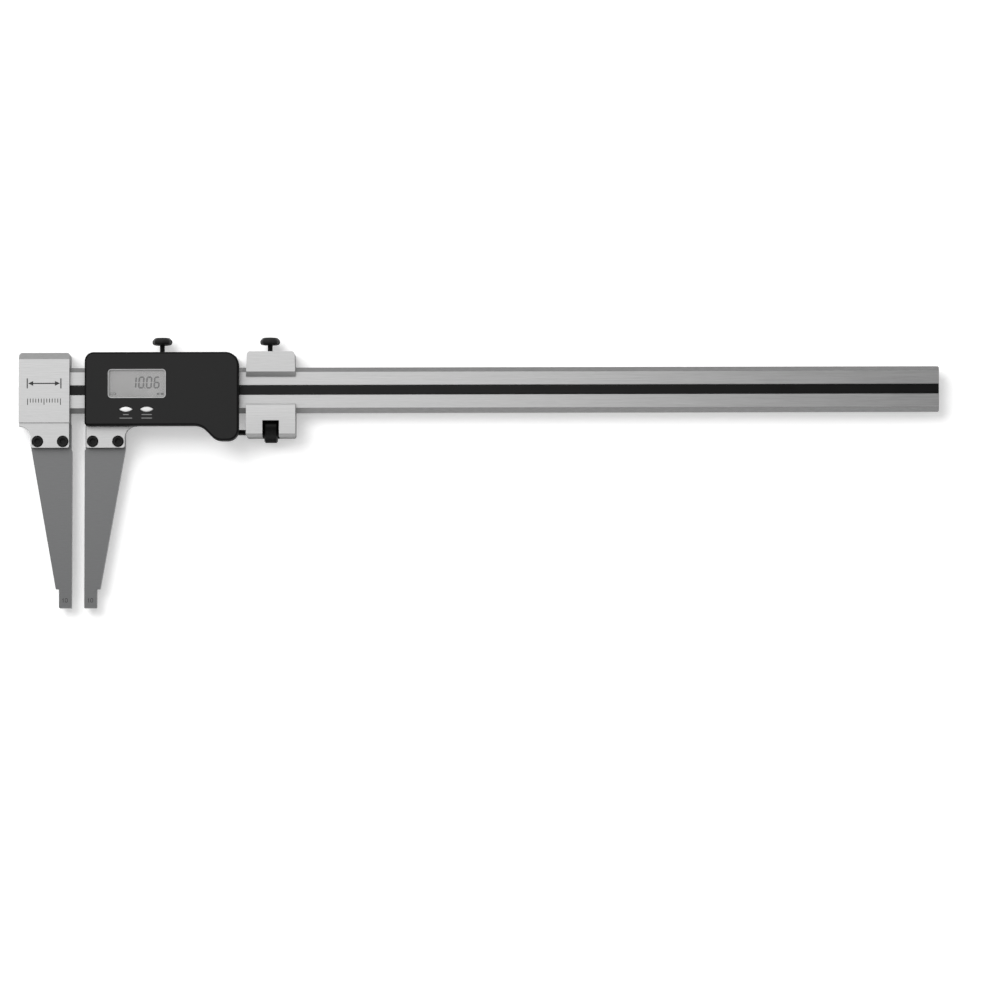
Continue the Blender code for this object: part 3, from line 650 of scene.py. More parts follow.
MATERIALS = make_materials()
# Painted shade: darker aluminium for bevels and sides, and a blacker plastic for the housing's rounded
# edges
MID_SHADE_ALUMINIUM = shaded_metal("mid_shade_aluminium", 0.22, 0.3)
FAINT_SHADE_ALUMINIUM = shaded_metal("faint_shade_aluminium", 0.32, 0.4)
DEEP_SHADE_ALUMINIUM = shaded_metal("deep_shade_aluminium", 0.17, 0.23)
EDGE_SHADE_PLASTIC = moulded("edge_shade_plastic", 0.004, 0.6, 0.35, 0.02, Specular_IOR_Level=0.08)
FILLED_MARK = tinted("filled_mark", grey(0.02), grey(0.035), 0.6, 0.0, (0.5, 0.5, 0.5), 0.01)
ETCHED_MARK = tinted("etched_mark", grey(0.03), grey(0.05), 0.7, 0.0, (0.4, 0.4, 0.4), 0.01)
PRINTED_MARK = moulded("printed_mark", 0.2, 0.6, 0.3, 0.004)
RIM_GREY = moulded("rim_grey", 0.5, 0.5, 0.3, 0.004)
LCD_INK = moulded("lcd_ink", 0.03, 0.5, 0.3, 0.002)


def stand_for(piece, *nodes):
    """Gives a piece the material of the CAD nodes' slot, and their body."""
    slot = SLOT_OF[nodes[0]]
    base = MATERIALS[slot]
    if piece.data.materials:
        piece.data.materials[0] = base
    else:
        piece.data.materials.append(base)
    settle(piece)
    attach(piece, BODY_OF[nodes[0]])
    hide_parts(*nodes)


def add_mark(piece, material, body):
    piece.data.materials.append(material)
    settle(piece)
    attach(piece, body)


def keep_cad(node, edge=0.0):
    """Shows a CAD node as it is, with its material and, if asked, softer edges."""
    thing = frame["nodes"][node]
    thing.data.materials.clear()
    thing.data.materials.append(MATERIALS[SLOT_OF[node]])
    if edge:
        weld = thing.modifiers.new("weld", "WELD")
        weld.merge_threshold = 0.002 * MM
        bevel = thing.modifiers.new("edges", "BEVEL")
        bevel.width = edge * MM
        bevel.segments = 2
        bevel.limit_method = "ANGLE"


# ---- screws ----
def cap_screw(node, axis, centre, head, tip, radii, knurls=36):
    """A socket cap screw. Head is the heights of its underside and of its top."""
    shank, cap = radii
    under, top = head
    out = 1 if top > under else -1
    knurl_top = top - out * 0.45
    knurl_foot = top - 0.75 * (top - under)
    step = out * 0.02
    profile = [
        (0, top),
        (cap - 0.5, top),
        (cap - 0.12, top - out * 0.16),
        (cap, knurl_top),
        (cap, knurl_top - step),
        (cap, knurl_foot),
        (cap, knurl_foot - step),
        (cap, under + out * 0.2),
        (cap - 0.2, under),
        (shank, under),
        (shank, tip + out * 0.4),
        (shank - 0.4, tip),
        (0, tip),
    ]

    def knurl(row, k, _):
        return -0.14 if row in (4, 5) and k % 2 else 0

    screw = turned(f"{node}_detail", profile, axis, centre, 2 * knurls, knurl)
    socket = sorted((top + out, top - out * 0.62 * cap))
    hexagon = rod("cut_hexagon", axis, centre, 0.56 * cap, socket, 6)
    mouth = sorted((top + step, top - out * 0.3))
    narrow, wide = 0.44 * cap, 0.58 * cap
    mouth_radii = (narrow, wide) if out > 0 else (wide, narrow)
    cut(screw, hexagon, rod("cut_mouth", axis, centre, mouth_radii, mouth, 40))
    facet(screw)
    stand_for(screw, node)


def grub_screw(node, axis, centre):
    """A headless set screw with a hexagon socket in its outer end."""
    along = "XYZ".index(axis)
    low, high = extent(node)[along]
    out = -1 if axis == "Z" else 1
    tip, top = (low, high) if out > 0 else (high, low)
    screw = threaded(f"{node}_detail", axis, centre, (low, high), *SET_THREAD, 24)
    socket = sorted((top + out, top - out * 1.6))
    cut(screw, rod("cut_hexagon", axis, centre, 0.86, socket, 6))
    facet(screw)
    stand_for(screw, node)


# ---- beam ----
def beam_octagon(clearance=0.0):
    _, (low, high), (back, front) = extent("beam")
    across, through = BEAM_CHAMFER
    right = [(high - across, back), (high, back + through)]
    right += [(high, front - through), (high - across, front)]
    left = [(-y, z) for y, z in reversed(right)]
    return grown(right + left, clearance)


def make_beam():
    x, y, (back, front) = extent("beam")
    groove = [(GROOVE_HALF, front), (GROOVE_HALF, GROOVE_FLOOR)]
    groove += [(-v, w) for v, w in reversed(groove)]
    outline = beam_octagon()
    beam = prism("beam_detail", outline[:4] + groove + outline[4:], "X", x)
    tail = [(x[1], y[0], TAIL_RADIUS), (x[1], y[1], TAIL_RADIUS)]
    ends = rounded([(x[0], y[0] - 1), *tail, (x[0], y[1] + 1)])
    trim(beam, prism("trim_tail", ends, "Z", (back - 1, front + 1)))
    chambers = []
    for side in (1, -1):
        across = sorted((side * CHAMBER_Y[0], side * CHAMBER_Y[1]))
        tunnel = rectangle(across, CHAMBER_Z, CHAMBER_RADIUS)
        chambers.append(prism(f"cut_chamber_{side}", tunnel, "X", (x[0] - 1, x[1] + 1)))
    cut(beam, *chambers)
    stop_x = sum(extent("beam_stop_screw")[0]) / 2
    holes = []
    for index, hole in enumerate(HEAD_SCREW_X):
        depth = (back - 1, HEAD_SCREW[1] + 1)
        holes.append(rod(f"cut_hole_{index}", "Z", (hole, 0, 0), M5_HOLE, depth))
    holes.append(rod("cut_stop", "Z", (stop_x, 0, 0), STOP_HOLE, (back - 1, STOP_SCREW[1] + 0.5)))
    cut(beam, *holes)
    # The chamfers, groove walls and sides take a darker aluminium: painted shade
    repaint(beam, "beam", (BEVEL_LEAN, MID_SHADE_ALUMINIUM))
    soften(beam, 0.28, edge_material=0)
    stand_for(beam, "beam")
    cap_screw("beam_stop_screw", "Z", (stop_x, 0, 0), *STOP_SCREW)
    keep_cad("scale_strip", 0.1)
    make_film()
    for side in ("upper", "lower"):
        keep_cad(f"beam_plug_{side}", 0.6)


def make_film():
    """The black film over the scale, a little crowned, with rounded ends."""
    x, y, z = extent("scale_cover_film")
    film = prism("scale_cover_film_detail", rectangle(x, y, 0.5), "Z", z)
    soften(film, 0.18, 3)
    stand_for(film, "scale_cover_film")


# ---- head and jaws ----
def flange_outline(face, direction, wall):
    """The step that a jaw is screwed to. Direction is the side of the face that it is on."""
    inner = face + direction * FLANGE_SETBACK
    outer = inner + direction * FLANGE_WIDTH
    end = outer + direction * FLANGE_FILLET
    inner_corner, outer_corner = FLANGE_CORNERS
    corners = [
        (inner, wall + FLANGE_OVERLAP),
        (inner, FLANGE_BOTTOM, inner_corner),
        (outer, FLANGE_BOTTOM, outer_corner),
        (outer, FLANGE_FOOT, FLANGE_FILLET),
        (end, FLANGE_FOOT),
        (end, wall + FLANGE_OVERLAP),
    ]
    return rounded(corners)


def jaw_screw_places(face, direction):
    return [(face + direction * across, JAW_SCREW_Y, 0) for across in JAW_SCREW_OFFSETS]


def flange_holes(face, direction):
    for index, centre in enumerate(jaw_screw_places(face, direction)):
        yield rod(f"cut_bore_{index}", "Z", centre, M5_BORE, FLANGE_BORE_Z, 64)
        yield rod(f"cut_hole_{index}", "Z", centre, M5_HOLE, FLANGE_HOLE_Z)


def jaw_outline(face, direction):
    tip = extent("fixed_jaw")[1][0]
    across, along = JAW_ROOT_CORNER
    corners = [
        (JAW_RELIEF, JAW_ROOT),
        (JAW_RELIEF, JAW_FACE_START + 1, 0.4),
        (0.0, JAW_FACE_START),
        (0.0, tip),
        (NIB_WIDTH, tip),
        (NIB_WIDTH, JAW_SHOULDER, 0.5),
        (JAW_SHOULDER_WIDTH, JAW_SHOULDER),
        (JAW_WIDTH, FLANGE_BOTTOM),
        (JAW_WIDTH, JAW_ROOT - along),
        (JAW_WIDTH - across, JAW_ROOT),
    ]
    moved = [(face + direction * c[0], c[1], *c[2:]) for c in corners]
    return rounded(moved)


def round_edges(thing, chosen, radius, segments):
    """Rounds the edges whose two ends both pass a test."""
    shape = bmesh.new()
    shape.from_mesh(thing.data)
    edges = [edge for edge in shape.edges if all(chosen(vertex.co) for vertex in edge.verts)]
    bmesh.ops.bevel(shape, geom=edges, offset=radius, segments=segments, profile=0.5, affect="EDGES")
    shape.to_mesh(thing.data)
    shape.free()


def make_jaw(node, face, direction):
    z = extent(node)[2]
    jaw = prism(f"{node}_detail", jaw_outline(face, direction), "Z", z)
    far = face + direction * NIB_WIDTH
    round_edges(jaw, lambda at: abs(at.x - far) < 0.01 and at.y < JAW_SHOULDER, NIB_RADIUS, 5)
    holes = []
    for index, centre in enumerate(jaw_screw_places(face, direction)):
        holes.append(rod(f"cut_hole_{index}", "Z", centre, M5_HOLE, (z[0] - 1, z[1] + 1)))
    cut(jaw, *holes)
    soften(jaw, 0.15)
    middle = face + direction * NIB_WIDTH / 2
    number = number_cutter((middle, NIB_MARK_Y), *NIB_MARK, (z[1] - MARK_DEPTH, z[1] + 1))
    engrave(jaw, number, MATERIALS["ground_steel"], ETCHED_MARK)
    stand_for(jaw, node)
    for index, centre in enumerate(jaw_screw_places(face, direction)):
        cap_screw(f"{node}_screw_{index + 1}", "Z", centre, *JAW_SCREW)


def number_cutter(centre, height, stroke, depth_span):
    """A 1 and a 0, the nib's width in millimetres, as a tool that engraves them."""
    x, y = centre
    low, high = y - height / 2, y + height / 2
    right = x - 1.3
    left = right - stroke
    flag = left - stroke
    one = [(left, low), (right, low), (right, high), (right - stroke * 0.6, high)]
    one += [(flag, high - 0.8), (flag, high - 1.3), (left, high - 0.9)]
    outer = rectangle((x - 0.2, x + 2.0), (low, high), 1.05)
    zero = prism("number", outer, "Z", depth_span)
    back, front = depth_span
    cut(zero, prism("cut_inside", grown(outer, -stroke), "Z", (back - 1, front + 1)))
    return join(zero, prism("join_one", one, "Z", depth_span))


def make_head():
    x, (_, high), (_, front) = extent("fixed_head")
    low = HEAD_BOTTOM
    section = [(low, 0), (high, 0), (high, front - HEAD_BEVEL)]
    section += [(high - HEAD_BEVEL, front), (low, front)]
    head = prism("fixed_head_detail", section, "X", x)
    corners = [(x[0], low - 1), (x[1], low - 1), (x[1], high, HEAD_CORNER), (x[0], high, HEAD_CORNER)]
    trim(head, prism("trim_head", rounded(corners), "Z", (-1, front + 1)))
    join(head, prism("join_flange", flange_outline(0.0, -1, low), "Z", FLANGE_Z))
    beam_start = extent("beam")[0][0]
    cut(head, prism("cut_pocket", beam_octagon(GAP), "X", (beam_start - GAP, x[1] + 1)))
    cut(head, *flange_holes(0.0, -1))
    for index, hole in enumerate(HEAD_SCREW_X):
        bore = rod("cut_bore", "Z", (hole, 0, 0), M5_BORE, HEAD_BORE_Z, 64)
        cut(head, bore, rod("cut_hole", "Z", (hole, 0, 0), M5_HOLE, HEAD_HOLE_Z))
        cap_screw(f"head_screw_{index + 1}", "Z", (hole, 0, 0), *HEAD_SCREW)
    # Bevels and sides take darker aluminium, and the new rounded edges the bevels' one: painted shade
    repaint(head, "fixed_head", (BEVEL_LEAN, FAINT_SHADE_ALUMINIUM), (SIDE_LEAN, DEEP_SHADE_ALUMINIUM))
    soften(head, 0.4, 3, edge_material=1)
    engrave_head(head, front)
    stand_for(head, "fixed_head")


def engrave(thing, cutter, base, fill):
    """Cuts a mark into a piece and gives the cut its own colour."""
    if not thing.data.materials:
        thing.data.materials.append(base)
    cutter.data.materials.append(fill)
    cut(thing, cutter)
    shade(thing)
    bake(thing)


def dimension_arrow(left, right, level, stroke):
    """A line with an arrowhead at each end, as one outline."""
    head, wing, half = 4.0, 1.9, stroke / 2
    lower = [(left, level), (left + head, level - wing), (left + head, level - half)]
    lower += [(right - head, level - half), (right - head, level - wing)]
    upper = [(right, level), (right - head, level + wing), (right - head, level + half)]
    upper += [(left + head, level + half), (left + head, level + wing)]
    return lower + upper


def engrave_head(head, front):
    """A plain dimension arrow over a row of scale ticks, cut in and filled black."""
    left, right = HEAD_MARK_X
    marks = [dimension_arrow(left + 0.4, right - 0.4, ARROW_Y, ARROW_STROKE)]
    half = ARROW_STROKE / 2
    for x in (left - 0.3, right + 0.3):
        marks.append(rectangle((x - half, x + half), (ARROW_Y - 4, ARROW_Y + 4)))
    half = TICK_WIDTH / 2
    for n in range(TICK_COUNT):
        x = left + (right - left) * n / (TICK_COUNT - 1)
        length = TICK_LENGTHS[0 if n % 6 == 0 else 1]
        marks.append(rectangle((x - half, x + half), (TICK_TOP - length, TICK_TOP)))
    cutter = prisms("cut_mark", marks, "Z", (front - MARK_DEPTH, front + 1))
    engrave(head, cutter, MATERIALS["satin_aluminium"], FILLED_MARK)


# ---- the carriage ----
def saddle_outline(outer, lip_upper, lip_lower):
    """The section of a block that slides on the beam, open at the front between two lips."""
    octagon = beam_octagon(GAP)
    return [*outer[0], *lip_upper, *octagon[3::-1], *octagon[:3:-1], *lip_lower, *outer[1]]


def make_carriage():
    x, (_, high), (_, front) = extent("carriage")
    low = CARRIAGE_BOTTOM
    lip = extent("beam")[2][1] + GAP
    outer = ([(low, 0), (high, 0), (high, front)], [(low, front)])
    upper = [(CARRIAGE_LIP, front), (CARRIAGE_LIP, lip)]
    lower = [(-CARRIAGE_LIP, lip), (-CARRIAGE_LIP, front)]
    carriage = prism("carriage_detail", saddle_outline(outer, upper, lower), "X", x)
    back, top = BOSS_Z
    boss = [(low + 3, back), (low + 3, top)]
    boss += [(BOSS_BOTTOM, top, BOSS_RADIUS), (BOSS_BOTTOM, back, BOSS_RADIUS)]
    flange = prism("join_flange", flange_outline(READING, 1, low), "Z", FLANGE_Z)
    join(carriage, flange, prism("join_boss", rounded(boss), "X", BOSS_X))
    cut(carriage, *flange_holes(READING, 1))
    cut(carriage, *carriage_holes())
    # The sides and their rounded edges take a darker aluminium: painted shade
    repaint(carriage, "carriage", (SIDE_LEAN, DEEP_SHADE_ALUMINIUM))
    soften(carriage, 0.35, edge_material=1)
    stand_for(carriage, "carriage")
    make_spindle()
    for index, hole in enumerate(GIB_SCREW_X):
        grub_screw(f"gib_set_screw_{index + 1}", "Y", (hole, 0, LOCK_Z))
    grub_screw("spindle_set_screw", "Z", (SPINDLE_SCREW_X, SPINDLE[1], 0))
    for index, at in enumerate(HOUSING_SCREWS):
        cap_screw(f"housing_screw_{index + 1}", "Z", (*at, 0), *HOUSING_SCREW)
    keep_cad("gib_strip", 0.2)


def carriage_holes():
    yield block("cut_gib_pocket", GIB_POCKET_X, GIB_POCKET_Y, GIB_POCKET_Z)
    yield rod("cut_spindle", "X", SPINDLE, SPINDLE_HOLE, SPINDLE_BORE_X)
    screw = (SPINDLE_SCREW_X, SPINDLE[1], 0)
    yield rod("cut_spindle_set", "Z", screw, SET_HOLE, SPINDLE_SCREW_Z)
    yield rod("cut_lock", "Y", (lock_x("slider"), 0, LOCK_Z), LOCK_HOLE, CARRIAGE_WALL_Y)
    for index, hole in enumerate(GIB_SCREW_X):
        yield rod(f"cut_gib_set_{index}", "Y", (hole, 0, LOCK_Z), SET_HOLE, CARRIAGE_WALL_Y)
    for index, at in enumerate(HOUSING_SCREWS):
        yield rod(f"cut_bore_{index}", "Z", (*at, 0), HOUSING_BORE, HOUSING_BORE_Z)
        yield rod(f"cut_hole_{index}", "Z", (*at, 0), HOUSING_HOLE, HOUSING_HOLE_Z, 24)


def make_spindle():
    x = extent("adjust_spindle")[0]
    spindle = threaded("adjust_spindle_detail", "X", SPINDLE, x, *SPINDLE_THREAD)
    facet(spindle, 60)
    stand_for(spindle, "adjust_spindle")


# ---- the display ----
def housing_outline(inset=0.0):
    (left, right), (_, top), _ = extent("display_housing")
    bottom = HOUSING_BOTTOM
    start, turn, bulge = HOUSING_BULGE
    corners = [
        (left, bottom, 2.5),
        (start, bottom, 13.0),
        (turn, bulge, 11.0),
        (right, bulge, 8.5),
        (right, top, 10.5),
        (left, top, 7.0),
    ]
    return grown(rounded(corners), -inset)


def shell_with_round_front(name, outline_at, back, front, radius, steps=7):
    """A solid whose front edge is rounded over, from outlines inset step by step."""
    levels = [(HOUSING_FOOT, back), (0.0, back + HOUSING_FOOT)]
    for n in range(steps + 1):
        angle = pi / 2 * n / steps
        levels.append((radius * (1 - cos(angle)), front - radius * (1 - sin(angle))))
    outlines = []
    for inset, height in levels:
        outlines.append([(u, v, height) for u, v in outline_at(inset)])
    return loft(name, outlines)


def make_housing():
    back, front = extent("display_housing")[2]
    inner = front - HOUSING_WALL
    name = "display_housing_detail"
    housing = shell_with_round_front(name, housing_outline, back, front, HOUSING_EDGE)
    cut(housing, prism("cut_cavity", housing_outline(HOUSING_WALL), "Z", (back - 1, inner)))
    cut(housing, *housing_openings((inner - 1, front + 1)))
    posts = []
    holes = []
    for index, at in enumerate(HOUSING_SCREWS):
        posts.append(rod(f"post_{index}", "Z", (*at, 0), HOUSING_POST, (back, inner + 0.5)))
        holes.append(rod(f"hole_{index}", "Z", (*at, 0), HOUSING_HOLE, (back - 1, inner - 1)))
    join(housing, *posts)
    cut(housing, *holes)
    # The rounded front edge and sides take a blacker plastic: painted shade
    repaint(housing, "display_housing", (HOUSING_LEAN, EDGE_SHADE_PLASTIC))
    soften(housing, 0.2, 2, 40, edge_material=1)
    stand_for(housing, "display_housing")
    make_window(inner, front)
    make_labels(front)


def housing_openings(through):
    """The cutters for the window, the buttons and the battery tray."""
    window = rectangle(WINDOW_X, WINDOW_Y, WINDOW_RADIUS)
    yield prism("cut_window", window, "Z", through)
    for side in ("left", "right"):
        opening = lens((button_x(side), BUTTON_Y), BUTTON_OPENING)
        yield prism(f"cut_button_{side}", opening, "Z", through)
    _, y, z = extent("battery_tray")
    tray = rectangle((y[0] - GAP, y[1] + GAP), (z[0] - GAP, z[1] + GAP), TRAY_OPENING_CORNER)
    yield prism("cut_tray", tray, "X", TRAY_OPENING_X)


def make_window(inner, front):
    outline = rectangle(WINDOW_X, WINDOW_Y, WINDOW_RADIUS)
    level = front - WINDOW_SETBACK
    pane = prism("display_window_detail", outline, "Z", (inner - 0.1, level))
    soften(pane, 0.4, 2)
    stand_for(pane, "display_window")
    outer, inside = WINDOW_RIM
    rim = prism("window_rim", grown(outline, -outer), "Z", (level - 0.05, level + 0.05))
    cut(rim, prism("cut_rim", grown(outline, -inside), "Z", (level - 1, level + 1)))
    add_mark(rim, RIM_GREY, "slider")


def button_x(side):
    return sum(extent(f"button_{side}")[0]) / 2


def make_button(side):
    node = f"button_{side}"
    centre = (button_x(side), BUTTON_Y)
    _, _, (foot, top) = extent(node)
    size = (BUTTON_OPENING[0] - 1.0, BUTTON_OPENING[1] - 0.7)
    outline = [Vector(p) - Vector(centre) for p in lens(centre, size)]
    crown = 0.7
    levels = [(1.0, foot + 0.6), (1.0, top - crown)]
    steps = 8
    for n in range(1, steps + 1):
        reach = 1 - (n / steps) ** 1.5 * 0.97
        levels.append((reach, top - crown * reach**3))
    outlines = []
    for reach, height in levels:
        outlines.append([(centre[0] + p.x * reach, centre[1] + p.y * reach, height) for p in outline])
    cap = loft(f"{node}_detail", outlines)
    footprint = lens(centre, (BUTTON_OPENING[0] + 2.0, BUTTON_OPENING[1] + 1.6))
    join(cap, prism("join_foot", footprint, "Z", (foot, foot + 0.8)))
    facet(cap, 40)
    stand_for(cap, node)


def make_labels(front):
    """Two short printed lines under each button, where words would be."""
    marks = []
    half = LABEL_STROKE / 2
    for x, width, y in LABEL_BARS:
        marks.append(rectangle((x - width / 2, x + width / 2), (y - half, y + half), 0.3))
    labels = prisms("button_labels", marks, "Z", (front - 0.02, front + 0.02))
    add_mark(labels, PRINTED_MARK, "slider")


SEGMENTS = {  # the ends of each bar of a digit, in halves of its width and height
    "top": ((0, 2), (2, 2)),
    "upper_right": ((2, 2), (2, 1)),
    "lower_right": ((2, 1), (2, 0)),
    "bottom": ((0, 0), (2, 0)),
    "lower_left": ((0, 1), (0, 0)),
    "upper_left": ((0, 2), (0, 1)),
    "middle": ((0, 1), (2, 1)),
}
DIGITS = {
    "0": ("top", "upper_right", "lower_right", "bottom", "lower_left", "upper_left"),
    "1": ("upper_right", "lower_right"),
    "6": ("top", "upper_left", "middle", "lower_left", "lower_right", "bottom"),
}


def segment(start, end, width, space):
    """A bar with pointed ends."""
    start, end = Vector(start), Vector(end)
    along = (end - start).normalized()
    side = Vector((-along.y, along.x)) * width / 2
    start = start + along * space
    end = end - along * space
    tip = along * width / 2
    return [start, start + tip - side, end - tip - side, end, end - tip + side, start + tip + side]


def digit(figure, left, low, width, height, stroke):
    """A seven-bar digit that leans a little to the right."""
    outlines = []
    for name in DIGITS[figure]:
        ends = []
        for u, v in SEGMENTS[name]:
            x = left + stroke / 2 + u * (width - stroke) / 2
            y = low + stroke / 2 + v * (height - stroke) / 2
            ends.append((x, y))
        bar = segment(*ends, stroke, DIGIT_GAP)
        outlines.append([(p.x + DIGIT_LEAN * (p.y - low), p.y) for p in bar])
    return outlines


def make_lcd():
    keep_cad("lcd_panel", 0.2)
    front = extent("lcd_panel")[2][1]
    marks = []
    for figure, left in zip("1006", DIGIT_X):
        marks += digit(figure, left, DIGIT_Y, *DIGIT_SIZE, DIGIT_STROKE)
    marks.append(rectangle(*DECIMAL_POINT))
    marks += battery_sign(BATTERY_SIGN)
    marks += [rectangle(*bar) for bar in BAR_SIGNS]
    ink = prisms("lcd_segments", marks, "Z", (front - 0.02, front + 0.05))
    add_mark(ink, LCD_INK, "slider")


def battery_sign(corner):
    """The bars of a battery's outline with its pole."""
    x, y = corner
    width, height, line = 4.6, 1.9, 0.4
    yield rectangle((x, x + width), (y, y + line))
    yield rectangle((x, x + width), (y + height - line, y + height))
    yield rectangle((x, x + line), (y + line, y + height - line))
    yield rectangle((x + width - line, x + width), (y + line, y + height - line))
    yield rectangle((x + width, x + width + 0.5), (y + 0.6, y + height - 0.6))


def make_electronics():
    for node in ("circuit_board", "pickup_board", "pickup_connector", "button_membrane"):
        keep_cad(node, 0.15)
    for side in ("lower", "upper"):
        keep_cad(f"lcd_connector_{side}", 0.2)
    for side in ("top", "side"):
        keep_cad(f"battery_contact_{side}")


def make_battery_tray():
    x, y, z = extent("battery_tray")
    (left, right), _, _ = extent("battery")
    middle = [sum(pair) / 2 for pair in extent("battery")]
    radius = (right - left) / 2
    tray = prism("battery_tray_detail", rectangle(y, z, 0.5), "X", x)
    cut(tray, rod("cut_pocket", "Z", middle, radius + GAP, (TRAY_FLOOR, z[1] + 1), 72))
    width, top, depth = TRAY_NOTCH
    centre_y = sum(y) / 2
    notch = rectangle((centre_y - width / 2, centre_y + width / 2), (z[0] - 1, top))
    cut(tray, prism("cut_notch", notch, "X", (x[1] - depth, x[1] + 1)))
    soften(tray, 0.18, 2, 40)
    stand_for(tray, "battery_tray")
    make_cell(middle, radius)


def make_cell(middle, radius):
    """A coin cell with a crimped edge and a plus sign."""
    low, high = extent("battery")[2]
    crimp = [
        (0, high),
        (radius - 1.0, high),
        (radius - 0.3, high - 0.12),
        (radius, high - 0.5),
        (radius, low + 0.9),
        (radius - 0.5, low + 0.65),
        (radius - 1.3, low + 0.6),
        (radius - 1.4, low + 0.1),
        (radius - 1.6, low),
        (0, low),
    ]
    cell = turned("battery_detail", crimp, "Z", middle, 96)
    arms = [rectangle((-2.2, 2.2), (-0.35, 0.35)), rectangle((-0.35, 0.35), (-2.2, 2.2))]
    for n, arm in enumerate(arms):
        outline = [(middle[0] + u, middle[1] + v) for u, v in arm]
        cut(cell, prism(f"cut_sign_{n}", outline, "Z", (high - 0.1, high + 1)))
    facet(cell)
    stand_for(cell, "battery")


# ---- clamp and lock screws ----
def make_clamp():
    x, (low, high), (_, front) = extent("clamp_block")
    upper_lip, lower_lip = CLAMP_LIP_INNER
    across, down = UPPER_LIP_BEVEL
    lip = extent("beam")[2][1] + GAP
    edge = CLAMP_EDGE_BEVEL
    outer = ([(low, 0), (high, 0), (high, front)], [(low + edge, front), (low, front - edge)])
    upper = [(upper_lip + across, front), (upper_lip, front - down), (upper_lip, lip)]
    across, down = LOWER_LIP_BEVEL
    lower = [(lower_lip, lip), (lower_lip, front - down), (lower_lip - across, front)]
    clamp = prism("clamp_block_detail", saddle_outline(outer, upper, lower), "X", x)
    lower_corner, upper_corner = CLAMP_CORNERS
    corners = [(x[0], low, lower_corner), (x[1], low, lower_corner)]
    corners += [(x[1], CLAMP_DRAFT_START), (x[1] - CLAMP_DRAFT, high, upper_corner)]
    corners += [(x[0] + CLAMP_DRAFT, high, upper_corner), (x[0], CLAMP_DRAFT_START)]
    trim(clamp, prism("trim_clamp", rounded(corners), "Z", (-1, front + 1)))
    # Bevels and sides take darker aluminium, and so do the rounded edges: painted shade
    repaint(clamp, "clamp_block", (BEVEL_LEAN, FAINT_SHADE_ALUMINIUM), (SIDE_LEAN, DEEP_SHADE_ALUMINIUM))
    cut(clamp, *clamp_holes(x, low, front))
    soften(clamp, 0.35, edge_material=1)
    stand_for(clamp, "clamp_block")
    for index, hole in enumerate(CLAMP_SCREW_X):
        grub_screw(f"clamp_set_screw_{index + 1}", "Y", (hole, 0, LOCK_Z))
    keep_cad("clamp_gib", 0.2)
    make_wheel()


def clamp_holes(x, low, front):
    slot = block("cut_slot", SLOT_X, (low - 1, SLOT_TOP), (SLOT_BACK, front + 1))
    # The slot's cut faces take the black steel: painted shade in the slot
    slot.data.materials.append(MATERIALS["black_steel"])
    yield slot
    inside = (x[0] + CLAMP_GIB_INSET, x[1] - CLAMP_GIB_INSET)
    yield block("cut_gib", inside, GIB_POCKET_Y, GIB_POCKET_Z)
    yield rod("cut_spindle", "X", SPINDLE, CLAMP_SPINDLE_HOLE, (x[0] - 1, CLAMP_SPINDLE_END))
    yield rod("cut_lock", "Y", (lock_x("clamp"), 0, LOCK_Z), LOCK_HOLE, CLAMP_WALL_Y)
    for index, hole in enumerate(CLAMP_SCREW_X):
        yield rod(f"cut_set_{index + 1}", "Y", (hole, 0, LOCK_Z), SET_HOLE, CLAMP_WALL_Y)


def make_wheel():
    (left, right), (low, high), _ = extent("adjusting_wheel")
    radius = (high - low) / 2
    edge = WHEEL_EDGE
    side = [  # radius, and depth under the wheel's flat face
        (WHEEL_BORE, 0.3),
        (WHEEL_BORE + 0.3, 0.0),
        (radius - edge, 0.0),
        (radius - 0.05, edge - 0.05),
        (radius, edge),
    ]
    profile = [(reach, right - depth) for reach, depth in side]
    profile += [(reach, left + depth) for reach, depth in reversed(side)]

    def knurl(row, k, _):
        return -WHEEL_KNURL if row in (4, 5) and k % 2 else 0

    wheel = turned("adjusting_wheel_detail", profile, "X", SPINDLE, 2 * WHEEL_RIDGES, knurl)
    facet(wheel, 25)
    stand_for(wheel, "adjusting_wheel")


def lock_x(label):
    return sum(extent(f"{label}_lock_knob")[0]) / 2


def make_lock(label):
    """A thumb screw: a moulded knob with a lobed rim, on a threaded steel stem."""
    centre = (lock_x(label), 0, LOCK_Z)
    _, (base, top), _ = extent(f"{label}_lock_knob")
    neck, hole = KNOB_NECK
    profile = [(radius, top - depth) for radius, depth, _ in KNOB_RIM]
    profile += [(neck, base), (hole, base), (hole, top - KNOB_WEB), (0, top - KNOB_WEB)]

    def scallop(row, _, angle):
        depth = KNOB_RIM[row][2] if row < len(KNOB_RIM) else 0
        return -depth * (0.5 - 0.5 * cos(KNOB_LOBES * angle)) ** 1.5

    knob = turned(f"{label}_lock_knob_detail", profile, "Y", centre, 120, scallop)
    facet(knob, 50)
    stand_for(knob, f"{label}_lock_knob")
    stem_y = extent(f"{label}_lock_stem")[1]
    stem = threaded(f"{label}_lock_stem_detail", "Y", centre, stem_y, *LOCK_THREAD)
    facet(stem, 60)
    stand_for(stem, f"{label}_lock_stem")
    keep_cad(f"{label}_lock_pad", 0.2)


# ---- floor, lights and camera ----
def make_floor():
    side = 30000
    floor = prism("studio_floor", rectangle((-side, side), (-side, side)), "Z", (-10.0, -0.1))
    paper = new_material("studio_paper", grey(0.88), 0.9)
    shader = paper.node_tree.nodes["Principled BSDF"]
    shader.inputs["Emission Color"].default_value = (1.0, 1.0, 1.0, 1.0)
    shader.inputs["Emission Strength"].default_value = 0.3
    floor.data.materials.append(paper)
    settle(floor)


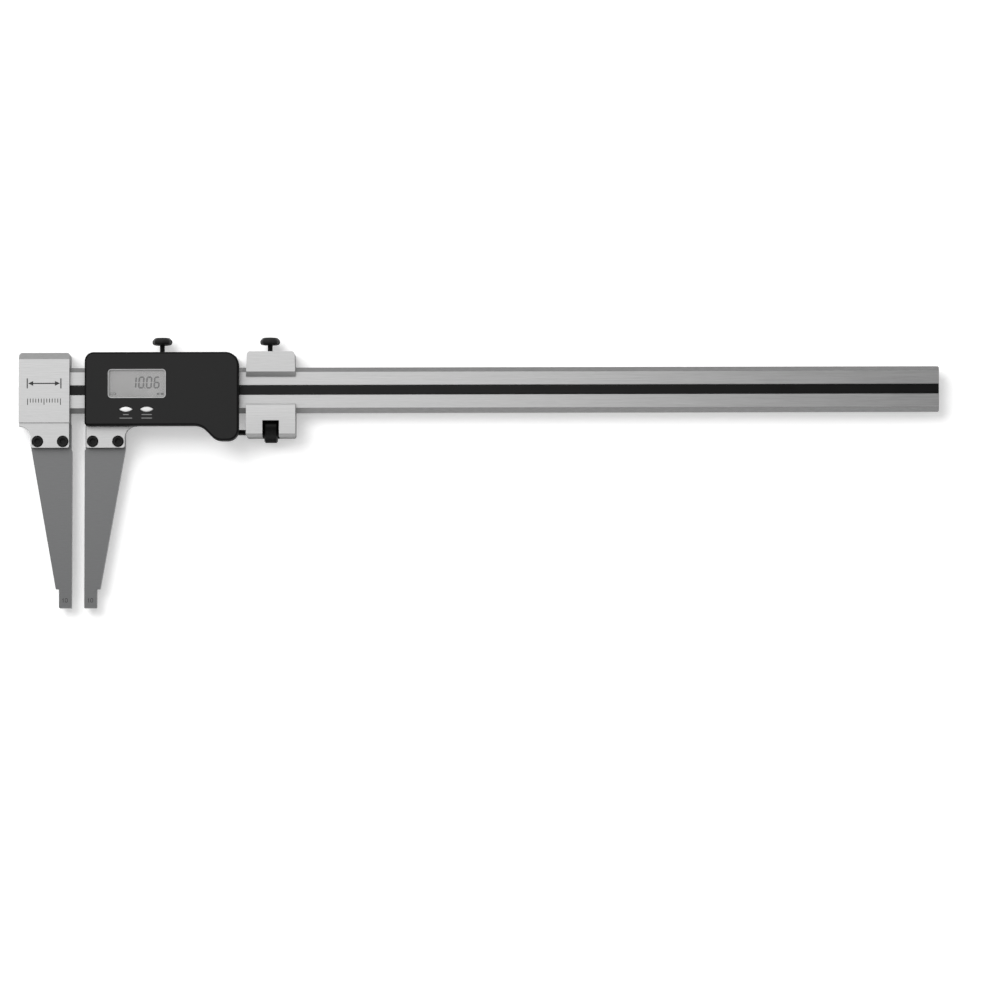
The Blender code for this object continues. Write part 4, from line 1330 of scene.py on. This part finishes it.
def add_light(name, kind, place, target, energy, **settings):
    light = bpy.data.lights.new(name, kind)
    light.energy = energy
    for key, value in settings.items():
        setattr(light, key, value)
    lamp = bpy.data.objects.new(name, light)
    lamp.location = place
    lamp.rotation_mode = "QUATERNION"
    lamp.rotation_quaternion = (Vector(target) - Vector(place)).to_track_quat("-Z", "Y")
    bpy.context.scene.collection.objects.link(lamp)
    return lamp


def make_lights():
    key = add_light("key", "SUN", (-2.0, 2.0, 4.0), (0, 0, 0), 1.6, angle=radians(36))
    key.visible_glossy = False  # or it burns out the metal
    panel = {"shape": "RECTANGLE", "size": 1.5, "size_y": 1.3}
    add_light("overhead", "AREA", (-0.6, 0.55, 1.4), (-0.6, 0.55, 0), 7.2, **panel)
    panel = {"shape": "RECTANGLE", "size": 1.6, "size_y": 0.7}
    add_light("fill", "AREA", (-0.2, -1.7, 0.6), (-0.1, 0, 0), 1.4, **panel)


def make_world():
    """A studio with pale walls and a darker ceiling."""
    world = bpy.data.worlds.new("studio")
    world.use_nodes = True
    tree = world.node_tree
    place = tree.nodes.new("ShaderNodeTexCoord")
    split = tree.nodes.new("ShaderNodeSeparateXYZ")
    shade = tree.nodes.new("ShaderNodeMapRange")
    set_range(shade, (0.25, 0.85), (0.9, 0.22))
    tree.links.new(place.outputs["Generated"], split.inputs["Vector"])
    tree.links.new(split.outputs["Z"], shade.inputs["Value"])
    tree.links.new(shade.outputs["Result"], tree.nodes["Background"].inputs["Strength"])
    tree.nodes["Background"].inputs["Color"].default_value = (1.0, 1.0, 1.0, 1.0)
    bpy.context.scene.world = world
    bpy.context.scene.view_settings.view_transform = "Standard"


def make_camera():
    camera = bpy.data.objects.new("camera", bpy.data.cameras.new("camera"))
    camera.data.lens = CAMERA_LENS
    camera.data.clip_end = 100.0
    camera.location = ORIGIN + Vector(CAMERA_PLACE) * MM
    camera.rotation_euler = CAMERA_TURN
    bpy.context.scene.collection.objects.link(camera)
    bpy.context.scene.camera = camera


make_camera()
make_lights()
make_world()
make_floor()
make_beam()
make_head()
make_jaw("fixed_jaw", 0.0, -1)
make_carriage()
make_jaw("moving_jaw", READING, 1)
make_housing()
make_button("left")
make_button("right")
make_lcd()
make_electronics()
make_battery_tray()
make_clamp()
make_lock("slider")
make_lock("clamp")
